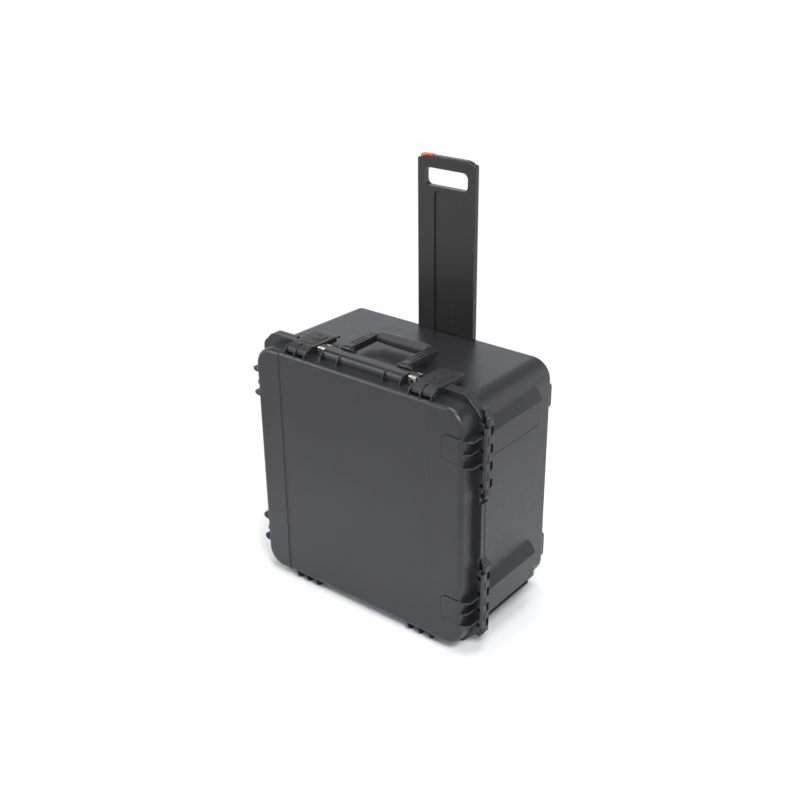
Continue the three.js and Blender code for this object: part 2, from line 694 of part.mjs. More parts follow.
/** The room around the right wheel, or with a margin the block of the base around that room. */
function wheelWell(margin) {
  return box(
    [WHEEL_X - WELL.half - margin, WHEEL_X + WELL.half + margin],
    [WELL.front - margin, CLEAR_OF_CASE],
    [-5, WELL.top + margin],
  );
}

/** The slot in the rear wall that the pull handle slides in, open at the top. */
function pullChannel() {
  const half = PULL_HALF + GAP + PLAY;
  const slide = box([-half, half], [PULL_FRONT - 0.6, CLEAR_OF_CASE], [CHANNEL_FLOOR, 700]);
  const seatHalf = COVER.half + GAP;
  const seat = box([-seatHalf, seatHalf], [COVER.front - GAP, CLEAR_OF_CASE], [COVER.low - GAP, 700]);
  return slide.add(seat);
}

/** One cheek of the two that hold an arm of the carry handle. */
function handleLug(side, cheek) {
  const middle = side * HANDLE_ARM_X + cheek * (HANDLE_ARM_HALF + GAP + HANDLE_CHEEK / 2);
  const shape = new THREE.Shape();
  shape.moveTo(HANDLE_PIVOT_Y - HANDLE_LUG_R, 590);
  shape.absarc(HANDLE_PIVOT_Y, HANDLE_PIVOT_Z, HANDLE_LUG_R, Math.PI, 0, true);
  shape.lineTo(HANDLE_PIVOT_Y + 14, 597);
  shape.lineTo(HANDLE_PIVOT_Y + 14, 590);
  return push(shape, 'x', middle - HANDLE_CHEEK / 2, middle + HANDLE_CHEEK / 2, 6);
}

// ------------------------------------------------------------------ pull handle and its channel
function buildChannelCover() {
  const plate = push(
    roundedRectangle([COVER.low, COVER.high], [-COVER.half, COVER.half], 4),
    'y',
    COVER.front,
    BASE_REAR,
  );
  return cut(plate, COVER_SCREWS.map(([x, z]) => bar('y', 2.2, 280, 300, [x, z], 10)));
}

function buildPullPlate() {
  const shape = new THREE.Shape();
  shape.moveTo(PULL_BOTTOM, -PULL_HALF);
  shape.lineTo(PULL_TOP - 12, -PULL_HALF);
  shape.quadraticCurveTo(PULL_TOP - 8, -PULL_HALF, PULL_TOP - 7, -PULL_HALF + 4);
  shape.lineTo(PULL_TOP - 7, -PULL_HALF + 7);
  shape.quadraticCurveTo(PULL_TOP, -60, PULL_TOP, -50);
  shape.lineTo(PULL_TOP, 50);
  shape.quadraticCurveTo(PULL_TOP, 60, PULL_TOP - 7, PULL_HALF - 7);
  shape.lineTo(PULL_TOP - 7, PULL_HALF - 4);
  shape.quadraticCurveTo(PULL_TOP - 8, PULL_HALF, PULL_TOP - 12, PULL_HALF);
  shape.lineTo(PULL_BOTTOM, PULL_HALF);
  const plate = push(shape, 'y', PULL_FRONT, PULL_REAR, 6);
  const slot = PULL_SLOT;
  const panel = PULL_PANEL;
  const hand = roundedRectangle([slot.low, slot.high], [-slot.half, slot.half], slot.corner);
  const sunk = roundedRectangle([PULL_BOTTOM + 20, panel.high], [-panel.half, panel.half], panel.corner);
  const middle = (PULL_FRONT + PULL_REAR) / 2;
  return cut(plate, [
    push(hand, 'y', 260, 300, 6),
    push(sunk, 'y', 260, PULL_FRONT + panel.depth, 5),
    box(
      [BUTTON.low - GAP, BUTTON.high + GAP],
      [middle - BUTTON.half - GAP, middle + BUTTON.half + GAP],
      [BUTTON.bottom - BUTTON.travel - 1, BUTTON.top + 10],
    ),
    box([ROD_X - 3, ROD_X + 3], [middle - 3, middle + 3], [PULL_BOTTOM - 1, BUTTON.bottom]),
  ]);
}

function buildReleaseButton() {
  const middle = (PULL_FRONT + PULL_REAR) / 2;
  const shape = new THREE.Shape();
  shape.moveTo(BUTTON.bottom, BUTTON.low);
  shape.lineTo(BUTTON.top - 6, BUTTON.low);
  shape.quadraticCurveTo(BUTTON.top - 1, BUTTON.low + 1, BUTTON.top - 1, BUTTON.low + 7);
  shape.lineTo(BUTTON.top, BUTTON.high);
  shape.lineTo(BUTTON.bottom, BUTTON.high);
  return push(shape, 'y', middle - BUTTON.half, middle + BUTTON.half, 5);
}

function buildReleaseRod() {
  const middle = (PULL_FRONT + PULL_REAR) / 2;
  return bar('z', 2, PULL_BOTTOM + 8, BUTTON.bottom - 0.3, [ROD_X, middle], 10);
}

// ------------------------------------------------------------------ carry handle
/** The handle's frame: two grooved arms and the core bar inside the grip. */
function buildHandleFrame() {
  const rear = HANDLE_PIVOT_Y + HANDLE_REACH;
  const half = HANDLE_ARM_HALF;
  const arms = [-1, 1].map((side) => {
    const shape = new THREE.Shape();
    shape.moveTo(HANDLE_PIVOT_Y, HANDLE_PIVOT_Z - HANDLE_HUB);
    shape.lineTo(rear + 4, HANDLE_PIVOT_Z - HANDLE_HUB);
    shape.lineTo(rear + 4, HANDLE_PIVOT_Z + HANDLE_HUB);
    shape.lineTo(HANDLE_PIVOT_Y, HANDLE_PIVOT_Z + HANDLE_HUB);
    shape.absarc(HANDLE_PIVOT_Y, HANDLE_PIVOT_Z, HANDLE_HUB, Math.PI / 2, Math.PI * 1.5);
    const arm = push(shape, 'x', side * HANDLE_ARM_X - half, side * HANDLE_ARM_X + half, 5);
    const grooves = [-GROOVE_OFFSET, GROOVE_OFFSET].map((offset) => box(
      [side * HANDLE_ARM_X + offset - 1.5, side * HANDLE_ARM_X + offset + 1.5],
      [HANDLE_PIVOT_Y + 14, rear - 38],
      [HANDLE_PIVOT_Z + HANDLE_HUB - 3, HANDLE_PIVOT_Z + 20],
    ));
    const dimples = [-GROOVE_OFFSET, GROOVE_OFFSET].flatMap((offset) => [0, 1].map((place) => box(
      [side * HANDLE_ARM_X + offset - 2, side * HANDLE_ARM_X + offset + 2],
      [rear - 32 + place * 12, rear - 26 + place * 12],
      [HANDLE_PIVOT_Z + HANDLE_HUB - 5, HANDLE_PIVOT_Z + 20],
    )));
    return cut(arm, [...grooves, ...dimples]);
  });
  const core = bar('x', HANDLE_CORE_R, -HANDLE_ARM_X, HANDLE_ARM_X, [HANDLE_CORE_Y, HANDLE_PIVOT_Z]);
  const bores = bar('x', HANDLE_PIN_R + PLAY, -120, 120, [HANDLE_PIVOT_Y, HANDLE_PIVOT_Z]);
  return cut(join([...arms, core]), [bores]);
}

/** The soft grip around the frame's core bar, thicker in the middle. */
function buildHandleGrip() {
  const end = HANDLE_ARM_X - HANDLE_ARM_HALF - GAP;
  const profile = [new THREE.Vector2(0, -end)];
  for (let step = 0; step <= 8; step += 1) {
    const place = step / 8 * 2 - 1;
    profile.push(new THREE.Vector2(GRIP_R + GRIP_SWELL * Math.cos(place * Math.PI / 2), place * end));
  }
  profile.push(new THREE.Vector2(0, end));
  const geometry = new THREE.LatheGeometry(profile, 18);
  geometry.rotateZ(-Math.PI / 2);
  geometry.scale(1, GRIP_OVAL.y, GRIP_OVAL.z);
  geometry.translate(0, HANDLE_CORE_Y, HANDLE_PIVOT_Z);
  const core = bar('x', HANDLE_CORE_R + PLAY, -end - 5, end + 5, [HANDLE_CORE_Y, HANDLE_PIVOT_Z]);
  return solid(geometry).subtract(core);
}

// ------------------------------------------------------------------ latches, drawn for the top side at x = 0
/** The latch's plate: a nose on the pin, a plate over the flanges and a rear finger tab. */
function buildLatch(pivot) {
  const top = LATCH_TOP;
  const under = LATCH_TOP - LATCH_PLATE;
  const nose = new THREE.Shape();
  nose.moveTo(pivot - 6, LATCH_PIVOT_R - 3);
  nose.quadraticCurveTo(pivot - 6, LATCH_PIVOT_R + 8, pivot + 4, top - 3);
  nose.quadraticCurveTo(pivot + 12, top, pivot + 20, top);
  nose.lineTo(pivot + 20, under);
  nose.lineTo(pivot + 9, under);
  nose.lineTo(pivot + 6, LATCH_PIVOT_R + 1);
  nose.lineTo(pivot + 4, LATCH_PIVOT_R - 5);
  nose.lineTo(pivot - 4, LATCH_PIVOT_R - 5);
  const front = push(nose, 'x', -NOSE_HALF, NOSE_HALF, 5);
  const back = new THREE.Shape();
  back.moveTo(pivot + 20, under);
  back.lineTo(pivot + 20, top);
  back.lineTo(52, top - 1);
  back.quadraticCurveTo(79, top - 3, 79, TAB_LOW);
  back.lineTo(76, TAB_LOW);
  back.quadraticCurveTo(75, under - 3, 52, under - 1);
  const tab = TAB_PLAN;
  const plan = outline([
    [-LATCH_HALF, pivot], [LATCH_HALF, pivot], [LATCH_HALF, tab.start], [tab.half, tab.end],
    [-tab.half, tab.end], [-LATCH_HALF, tab.start],
  ]);
  const rear = push(back, 'x', -LATCH_HALF, LATCH_HALF, 6).intersect(push(plan, 'z', TAB_LOW - 5, top + 5));
  const skirts = bothSides(box(
    [LATCH_HALF - LATCH_SKIRT.thick, LATCH_HALF],
    [LATCH_SKIRT.from, LATCH_SKIRT.to],
    [under - LATCH_SKIRT.drop, under + 1],
  ));
  const lip = box([-24, 24], [FLANGE_DEPTH + 1, FLANGE_DEPTH + 4], [300.5, under + 1]);
  const triggerRoom = box(
    [-TRIGGER_HALF - GAP, TRIGGER_HALF + GAP],
    [TRIGGER_PIVOT_Y - 2.8, 44],
    [under - 0.6, top + 5],
  );
  return cut(join([front, rear, lip, ...skirts]), [
    box([-EAR_GAP, EAR_GAP], [pivot - 20, pivot + 19], [280, 320]),
    bar('x', LATCH_PIN_R + PLAY, -40, 40, [pivot, LATCH_PIVOT_R], 12),
    triggerRoom,
    bar('x', 1.5, -TRIGGER_HALF - 3, TRIGGER_HALF + 3, [TRIGGER_PIVOT_Y, LATCH_TOP - 2], 8),
  ]);
}

/** The release trigger: a plate inside the latch that lifts at its rear. */
function buildTrigger() {
  const top = LATCH_TOP + 0.6;
  const under = LATCH_TOP - LATCH_PLATE;
  const plate = box([-TRIGGER_HALF, TRIGGER_HALF], [TRIGGER_PIVOT_Y - 1.8, 43.4], [under + 0.2, top]);
  const boss = push(roundedRectangle([-9, 9], [14, 30], 2), 'z', top - 1, top + 1.2, 3);
  const axle = bar('x', 1.2, -TRIGGER_HALF - 2.4, TRIGGER_HALF + 2.4, [TRIGGER_PIVOT_Y, LATCH_TOP - 2], 8);
  return join([plate, boss, axle]);
}

function buildLatchPin(pivot) {
  const half = EAR_PITCH + EAR_THICK / 2;
  return bar('x', LATCH_PIN_R, -half, half, [pivot, LATCH_PIVOT_R], 12);
}

// ------------------------------------------------------------------ small pieces
/** A steel loop that a padlock passes through; the lid's is L shaped and folds over the flange. */
function buildLoop(sign) {
  const half = sign > 0 ? LOOP.baseHalf : LOOP.lidHalf;
  const inner = FLANGE_DEPTH + PLAY;
  const outer = inner + LOOP.thick;
  const leg = sign > 0 ? [inner, outer] : [-outer, -inner];
  const top = CENTRE_Z + FLANGE_HALF;
  const hole = bar('y', LOOP.hole, -30, 30, [0, CENTRE_Z + LOOP.holeR]);
  if (sign > 0) {
    return box([-half, half], leg, [top - LOOP.leg, top]).subtract(hole);
  }
  const front = box([-half, half], leg, [top - LOOP.leg, top + LOOP.thick + PLAY]);
  const cap = box([-half, half], [-outer, LOOP.cap - outer], [top + PLAY, top + LOOP.thick + PLAY]);
  return front.add(cap).subtract(hole);
}

/** A wheel: a ribbed hub with a rubber tyre shape in one turned profile. */
function buildWheel() {
  const r = WHEEL_R;
  const w = WHEEL_HALF;
  const profile = [
    [AXLE_R + PLAY, -w], [10, -w], [10, -w + 3], [r - 10, -w + 3], [r - 9, -w], [r - 3, -w], [r, -w + 3],
    [r, w - 3], [r - 3, w], [r - 9, w], [r - 10, w - 3], [10, w - 3], [10, w], [AXLE_R + PLAY, w],
    [AXLE_R + PLAY, -w],
  ];
  const geometry = new THREE.LatheGeometry(profile.map(([u, v]) => new THREE.Vector2(u, v)), 20);
  geometry.rotateZ(-Math.PI / 2);
  return solid(geometry);
}

function buildAxle(side) {
  const middle = side * WHEEL_X;
  const half = AXLE_HALF - GAP;
  return bar('x', AXLE_R, middle - half, middle + half, [WHEEL_Y, WHEEL_R]);
}

function buildScrew() {
  const head = bar('y', 3.6, BASE_REAR + 0.2, BASE_REAR + 1.8, [0, 0], 12);
  const shank = bar('y', 1.6, 272, BASE_REAR + 0.5, [0, 0], 10);
  return head.add(shank);
}

function valveHole() {
  return bar('x', VALVE.neck + PLAY, -300, -270, [VALVE.y, VALVE.z]);
}

/** A pressure valve: a knob outside the wall and a threaded neck through it. */
function buildValve() {
  const wall = BASE_HALF - (BASE_HALF - BASE_REAR_HALF) * VALVE.y / BASE_REAR;
  const knob = bar('x', VALVE.r, -wall - 7, -wall - 0.6, [VALVE.y, VALVE.z], 20);
  const neck = bar('x', VALVE.neck, -wall - 1, -wall + 7, [VALVE.y, VALVE.z]);
  return knob.add(neck);
}

// ------------------------------------------------------------------ foam
function pocket({ z, x, depth, corner }) {
  return push(roundedRectangle(z, x, corner), 'y', 0, depth, 4);
}

/** The base foam: a block that fills the base, with pockets for the drone and its accessories. */
function buildBaseFoam() {
  const side = BASE_REAR_HALF - WALL - 3;
  const block = loft([
    { half: side, corner: 40, y: FOAM_FRONT },
    { half: side - 2, corner: 40, y: FOAM_REAR },
  ]);
  const batteries = [0, 1, 2, 3].map((place) => {
    const start = BATTERY_POCKET.first + place * BATTERY_POCKET.pitch;
    return pocket({ ...BATTERY_POCKET, x: [start, start + BATTERY_POCKET.width] });
  });
  return cut(block, [
    ...bothSides(wheelWell(WELL.wall + 4)),
    pocket(DRONE_POCKET),
    pocket(REMOTE_POCKET),
    pocket(CHARGER_POCKET),
    ...batteries,
  ]);
}

/** The lid foam: a pad that presses on the contents. */
function buildLidFoam() {
  return loft([
    { half: LID_HALF - WALL - 14, corner: 34, y: -50.5 },
    { half: LID_HALF - WALL - 3, corner: 40, y: -38 },
    { half: LID_HALF - WALL - 3, corner: 40, y: -1 },
  ], 4);
}

// ------------------------------------------------------------------ assembly
const caseGroup = new THREE.Group();
caseGroup.position.y = -MIDDLE_Y;

function add(parent, name, body, material) {
  const mesh = new THREE.Mesh(geometryOf(body), material);
  mesh.name = name;
  parent.add(mesh);
  return mesh;
}

add(caseGroup, 'base_shell', buildBaseShell(), shellPlastic);
add(caseGroup, 'lid_shell', buildLidShell(), shellPlastic);
add(caseGroup, 'gasket', gasketRing(SEAL.inner, SEAL.outer, SEAL.front, SEAL.rear), sealRubber);
add(caseGroup, 'base_foam', buildBaseFoam(), foam);
add(caseGroup, 'lid_foam', buildLidFoam(), foam);

['lower', 'upper'].forEach((place, i) => {
  const centre = HINGE_CENTRES[i];
  const low = centre - HINGE_HALF - 3.5;
  const pin = bar('z', HINGE_PIN_R, low, centre + HINGE_HALF + HINGE_PIN_OVER, [HINGE_X, 0], 12);
  add(caseGroup, `hinge_pin_${place}`, pin, steel);
});

for (const { name, side, centre, pivot } of LATCHES) {
  const sideGroup = new THREE.Group();
  sideGroup.position.set(0, 0, CENTRE_Z);
  sideGroup.rotation.y = SIDE_TURN[side];
  const place = new THREE.Group();
  place.position.x = centre;
  sideGroup.add(place);
  caseGroup.add(sideGroup);
  add(place, `latch_${name}`, buildLatch(pivot), latchPlastic);
  add(place, `latch_trigger_${name}`, buildTrigger(), latchPlastic);
  add(place, `latch_pin_${name}`, buildLatchPin(pivot), steel);
}

for (const [side, name] of [[-1, 'left'], [1, 'right']]) {
  add(caseGroup, `padlock_loop_lid_${name}`, buildLoop(-1), steel).position.x = side * LOOP_X;
  add(caseGroup, `padlock_loop_base_${name}`, buildLoop(1), steel).position.x = side * LOOP_X;
  const pinX = side * HANDLE_ARM_X;
  const pin = bar('x', HANDLE_PIN_R, pinX - 16.4, pinX + 16.4, [HANDLE_PIVOT_Y, HANDLE_PIVOT_Z]);
  add(caseGroup, `handle_pin_${name}`, pin, steel);
  const wheel = add(caseGroup, `wheel_${name}`, buildWheel(), tyreRubber);
  wheel.position.set(side * WHEEL_X, WHEEL_Y, WHEEL_R);
  add(caseGroup, `wheel_axle_${name}`, buildAxle(side), steel);
}

add(caseGroup, 'carry_handle_frame', buildHandleFrame(), handlePlastic);
add(caseGroup, 'carry_handle_grip', buildHandleGrip(), gripRubber);
add(caseGroup, 'pull_handle', buildPullPlate(), handlePlastic);
add(caseGroup, 'release_button', buildReleaseButton(), redPlastic);
add(caseGroup, 'release_rod', buildReleaseRod(), steel);
add(caseGroup, 'channel_cover', buildChannelCover(), shellPlastic);
COVER_SCREWS.forEach(([x, z], i) => {
  add(caseGroup, `cover_screw_${i + 1}`, buildScrew(), steel).position.set(x, 0, z);
});
add(caseGroup, 'pressure_valve', buildValve(), latchPlastic);

const droneCase = new THREE.Group();
droneCase.add(caseGroup);

export default droneCase;
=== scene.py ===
"""A wheeled hard carrying case for a camera drone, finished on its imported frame.

Shapes are drawn in millimetres (+Z up, -Y out of the lid, parting plane y = 0, floor z = 0), then
scaled to metres and moved forward so that the frame's origin lies under the middle of the case.
"""

import math

import bmesh
import bpy
from mathutils import Matrix, Vector, noise


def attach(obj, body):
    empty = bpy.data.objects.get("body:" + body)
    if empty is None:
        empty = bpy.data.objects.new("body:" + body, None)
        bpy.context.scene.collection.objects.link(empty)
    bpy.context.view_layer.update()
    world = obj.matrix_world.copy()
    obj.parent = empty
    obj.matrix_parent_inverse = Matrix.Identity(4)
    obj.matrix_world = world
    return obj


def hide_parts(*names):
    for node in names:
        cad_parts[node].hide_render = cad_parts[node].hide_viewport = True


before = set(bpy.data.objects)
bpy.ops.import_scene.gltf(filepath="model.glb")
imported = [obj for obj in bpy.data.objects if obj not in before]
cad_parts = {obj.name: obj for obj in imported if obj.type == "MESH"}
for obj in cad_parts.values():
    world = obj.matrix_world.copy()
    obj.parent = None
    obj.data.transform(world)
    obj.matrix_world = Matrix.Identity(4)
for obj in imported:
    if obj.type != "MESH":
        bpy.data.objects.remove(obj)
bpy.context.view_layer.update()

MM = 0.001
QUARTER = math.pi / 2

# ------------------------------------------------------------------ dimensions, as in the frame
CENTRE_Z = 312
MIDDLE_Y = 118.5
WALL = 5
GAP = 0.4
PLAY = 0.3
PART_GAP = 0.7
CLEAR_OF_CASE = 330

FLANGE_HALF = 309
FLANGE_DEPTH = 12.5
CHAMFER_LEFT = 28
CHAMFER_RIGHT = 46
FLANGE_BEND = 9
HINGE_FLAT = 303.6
INTO_FLANGE = 9
RIB_ROOT = 284
EAR_ROOT = 286

LID_FRONT = 60
LID_PANEL = 57.6
LID_PANEL_X = (-220.5, 211)
LID_HALF = 292.5
LID_CORNER = 46
LID_FILLET = 12
BOSS_INNER = 240
BOSS_OUTER = 300
BOSS_BELOW = 22.5
BOSS_ABOVE = 35
BOSS_HIGH = 1.5
BOSS_REAR = 48
BOSS_CORNER = 12
GROOVE_WIDE = 1.6
GROOVE_DEEP = 1.4

BASE_REAR = 294.5
BASE_HALF = 289
BASE_REAR_HALF = 283.5
BASE_CORNER = 50
BASE_LEFT_CORNER = 25
BASE_FILLET = 14

HINGE_X = 311
HINGE_CENTRES = (132.5, 486.5)
KNUCKLE = 20.4
KNUCKLE_REACH = 6.5
HINGE_PIN_R = 2.4
HINGE_BLOCK_DEPTH = 16
HINGE_END_HIGH = 25
HINGE_END_TIP = 5
HINGE_END_INNER = 302
HINGE_SLOT_NOSE = 8
HINGE_SLOT_LID = -9
HINGE_SLOT_BASE = 13
HINGE_HALF = 4 * KNUCKLE
LID_ROW = 7 * KNUCKLE - GAP
LID_KNUCKLES = [step * KNUCKLE for step in (-3, -1, 1, 3)]
BASE_KNUCKLES = [step * KNUCKLE for step in (-4, -2, 0, 2, 4)]

RIB_CENTRE = 197.4
BOTTOM_RIB_CENTRE = 171
RIB_PITCH = 30.3
RIB_THICK = 4
RIB_REACH = 311
MIDDLE_RIB_DROP = 6

EAR_PITCH = 29.3
EAR_THICK = 3.2
LATCH_PIVOT_R = 299
LATCH_PIN_R = 1.8
LATCH_HALF = 31.5
LATCH_TOP = 311.4
LATCH_PLATE = 4
LATCH_SEAT = 306.8
TAB_LOW = 298.2
TAB_START = 58
TAB_END = 79.5
TAB_HALF = 22.6
SWEEP_LOW = 297.8
SWEEP_REAR = 20.5
NOSE_HALF = 27.2
EAR_GAP = 2.5
TRIGGER_HALF = 17
TRIGGER_PIVOT_Y = -8
# name, side of the case, centre along that side, depth of the pivot
LATCHES = (
    ("top_left", "top", -175.8, -40),
    ("top_right", "top", 175.8, -40),
    ("side_upper", "left", 197.4, -22),
    ("side_lower", "left", -197.4, -22),
)

LOOP_X = 127.5
LOOP_HALVES = {"lid": 10, "base": 6.5}
LOOP_CAP = 7
LOOP_THICK = 2.5
LOOP_LEG = 15
LOOP_HOLE = 4.2
LOOP_HOLE_R = 300
HOOD_HALF = 113
HOOD_FINS = (-HOOD_HALF + 1.5, -64, 64, HOOD_HALF - 1.5)

HANDLE_PIVOT_Y = 22.5
HANDLE_PIVOT_Z = 620.5
HANDLE_HUB = 8.5
HANDLE_ARM_X = 80
HANDLE_ARM_HALF = 11.5
HANDLE_REACH = 101
HANDLE_PIN_R = 3
HANDLE_CHEEK = 5
HANDLE_LUG_R = 6.5
HANDLE_CORE_R = 6
GROOVE_OFFSET = 4.6
GRIP_Y = HANDLE_PIVOT_Y + HANDLE_REACH - 2
GRIP_R = 14

PULL_HALF = 78.5
PULL_FRONT = 274.5
PULL_REAR = 290
PULL_MIDDLE = (PULL_FRONT + PULL_REAR) / 2
PULL_BOTTOM = 468
PULL_TOP = 1008
BUTTON_LOW = -72
BUTTON_HIGH = -40
BUTTON_BOTTOM = 992
BUTTON_TOP = 1010.5
BUTTON_HALF = 5.2
BUTTON_TRAVEL = 5
COVER_HALF = 92
COVER_FRONT = 290.8
COVER_LOW = 46
COVER_HIGH = 570
CHANNEL_FLOOR = 58
SCREWS = ((-86, 52), (86, 52), (-86, 540), (86, 540))

WHEEL_X = 206
WHEEL_Y = 259
WHEEL_R = 32
WHEEL_HALF = 11
AXLE_R = 4
AXLE_HALF = 18
WELL_HALF = 14
WELL_FRONT = 224
WELL_TOP = 68
WELL_WALL = 6

PAD_FACE = 308
PAD_REAR = 222
PAD_END = 16
LEDGE_LOW = 64
LEDGE_HIGH = 68.4
LEDGE_FACE = 304
PADS = ((474, 534), (76, 141))
VALVE_Y = 60
VALVE_Z = 312
VALVE_R = 11


# ------------------------------------------------------------------ outlines
class Outline:
    """A closed flat outline of straight lines, quadratic curves and arcs."""

    def __init__(self, u, v):
        self.points = [(u, v)]

    def line(self, *corners):
        self.points.extend(corners)
        return self

    def curve(self, control, end, steps=10):
        start = self.points[-1]
        for i in range(1, steps + 1):
            t = i / steps
            a, b, c = (1 - t) ** 2, 2 * t * (1 - t), t * t
            self.points.append(tuple(a * p + b * q + c * r for p, q, r in zip(start, control, end)))
        return self

    def arc(self, centre, radius, start, end, steps=10):
        for i in range(steps + 1):
            angle = start + (end - start) * i / steps
            self.points.append((centre[0] + radius * math.cos(angle), centre[1] + radius * math.sin(angle)))
        return self


def rounded_rectangle(u, v, radius, steps=8):
    shape = Outline(u[0] + radius, v[0])
    shape.arc((u[1] - radius, v[0] + radius), radius, -QUARTER, 0, steps)
    shape.arc((u[1] - radius, v[1] - radius), radius, 0, QUARTER, steps)
    shape.arc((u[0] + radius, v[1] - radius), radius, QUARTER, 2 * QUARTER, steps)
    shape.arc((u[0] + radius, v[0] + radius), radius, 2 * QUARTER, 3 * QUARTER, steps)
    return shape


# ------------------------------------------------------------------ bodies
# Shapes are drawn in (y, z) and pushed along x, in (z, x) along y, or in (x, y) along z.
AXES = {
    "x": Matrix(((0, 0, 1, 0), (1, 0, 0, 0), (0, 1, 0, 0), (0, 0, 0, 1))),
    "y": Matrix(((0, 1, 0, 0), (0, 0, 1, 0), (1, 0, 0, 0), (0, 0, 0, 1))),
    "z": Matrix.Identity(4),
}
SIDE_TURN = {"top": 0, "right": QUARTER, "bottom": 2 * QUARTER, "left": -QUARTER}
SHARP = math.radians(28)


def round_edges(bm, radius, segments=2):
    """Rounds every sharp edge of a body."""
    if radius:
        edges = [e for e in bm.edges if e.calc_face_angle(0) > SHARP]
        bmesh.ops.bevel(
            bm, geom=edges, offset=radius, segments=segments, profile=0.5, affect="EDGES", clamp_overlap=True
        )
    return bm


def closed(bm):
    bmesh.ops.remove_doubles(bm, verts=bm.verts, dist=1e-4)
    bmesh.ops.recalc_face_normals(bm, faces=bm.faces)
    return bm


def push(shape, axis, low, high, radius=0.0, segments=2):
    """An outline pushed along an axis, with its sharp edges rounded."""
    points = []
    for point in shape.points:
        if not points or math.dist(point, points[-1]) > 1e-3:
            points.append(point)
    if math.dist(points[0], points[-1]) < 1e-3:
        points.pop()
    bm = bmesh.new()
    near = [bm.verts.new((u, v, low)) for u, v in points]
    far = [bm.verts.new((u, v, high)) for u, v in points]
    bm.faces.new(near)
    bm.faces.new(far)
    for i in range(len(points)):
        j = (i + 1) % len(points)
        bm.faces.new((near[i], near[j], far[j], far[i]))
    bm.transform(AXES[axis])
    return round_edges(closed(bm), radius, segments)


def block(x, y, z, radius=0.0, segments=2):
    corners = Outline(x[0], y[0]).line((x[1], y[0]), (x[1], y[1]), (x[0], y[1]))
    return push(corners, "z", z[0], z[1], radius, segments)


def turned(axis, profile, centre, steps=32):
    """A profile of (distance along the axis, radius) turned about an axis; a radius of 0 closes an end."""
    bm = bmesh.new()
    rings = []
    for along, radius in profile:
        if radius == 0:
            rings.append([bm.verts.new((0, 0, along))])
            continue
        ring = []
        for i in range(steps):
            angle = 2 * math.pi * i / steps
            ring.append(bm.verts.new((radius * math.cos(angle), radius * math.sin(angle), along)))
        rings.append(ring)
    if len(rings[0]) > 1:
        rings.append(rings[0])
    for a, b in zip(rings, rings[1:]):
        for i in range(steps):
            j = (i + 1) % steps
            corners = [a[i % len(a)], a[j % len(a)], b[j % len(b)], b[i % len(b)]]
            bm.faces.new(list(dict.fromkeys(corners)))
    bm.transform(AXES[axis])
    offset = {"x": (0, *centre), "y": (centre[0], 0, centre[1]), "z": (*centre, 0)}[axis]
    bmesh.ops.translate(bm, verts=bm.verts, vec=offset)
    return closed(bm)


def rod(axis, radius, low, high, centre, bevel=0.0, steps=32):
    """A round bar along an axis, with chamfered ends."""
    profile = [(low, 0), (low, radius - bevel), (high, radius - bevel), (high, 0)]
    if bevel:
        profile[2:2] = [(low + bevel, radius), (high - bevel, radius)]
    return turned(axis, profile, centre, steps)


def square_ring(half, corner, y, steps, left=None):
    points = []
    for quarter in range(4):
        side_x = 1 if quarter in (0, 3) else -1
        side_z = 1 if quarter < 2 else -1
        for step in range(steps + 1):
            angle = (quarter + step / steps) * QUARTER
            radius = corner if side_x > 0 or left is None else left
            x = side_x * (half - radius) + radius * math.cos(angle)
            z = side_z * (half - radius) + radius * math.sin(angle)
            points.append((x, y, CENTRE_Z + z))
    return points


def loft(sections, steps=14):
    """A body through square sections, given as (half, corner, y) or (half, corner, y, left corner)."""
    bm = bmesh.new()
    rings = []
    for half, corner, y, *left in sections:
        rings.append([bm.verts.new(p) for p in square_ring(half, corner, y, steps, *left)])
    for a, b in zip(rings, rings[1:]):
        for i in range(len(a)):
            j = (i + 1) % len(a)
            bm.faces.new((a[i], a[j], b[j], b[i]))
    bm.faces.new(rings[0])
    bm.faces.new(rings[-1])
    return closed(bm)


def fillet(half, corner, start, radius, direction, steps=9, left=None):
    """Sections that turn a wall into an end face with a quarter circle."""
    sections = []
    for step in range(steps + 1):
        angle = step / steps * QUARTER
        inset = radius * (1 - math.cos(angle))
        left_corner = (corner if left is None else left) - inset
        y = start + direction * radius * math.sin(angle)
        sections.append((half - inset, corner - inset, y, left_corner))
    return sections


def moved(bm, matrix):
    bm.transform(matrix)
    return bm


def on_side(bm, side):
    """Turns a body drawn around the origin for the top side to its own side of the case."""
    return moved(bm, Matrix.Translation((0, 0, CENTRE_Z)) @ Matrix.Rotation(SIDE_TURN[side], 4, "Y"))


def both_sides(make):
    """The same body on the right and mirrored to the left."""
    left = moved(make(), Matrix.Diagonal((-1, 1, 1, 1)))
    bmesh.ops.reverse_faces(left, faces=left.faces)
    return [make(), left]


def scratch(bm):
    """A throw-away object for one body."""
    mesh = bpy.data.meshes.new("scratch")
    bm.to_mesh(mesh)
    bm.free()
    obj = bpy.data.objects.new("scratch", mesh)
    bpy.context.scene.collection.objects.link(obj)
    return obj


def settled(obj, *tools):
    """The body that an object's modifiers make; the objects themselves are removed."""
    bpy.context.view_layer.update()
    mesh = bpy.data.meshes.new_from_object(obj.evaluated_get(bpy.context.evaluated_depsgraph_get()))
    bm = bmesh.new()
    bm.from_mesh(mesh)
    for spent in (obj, *tools):
        bpy.data.objects.remove(spent)
    return bm


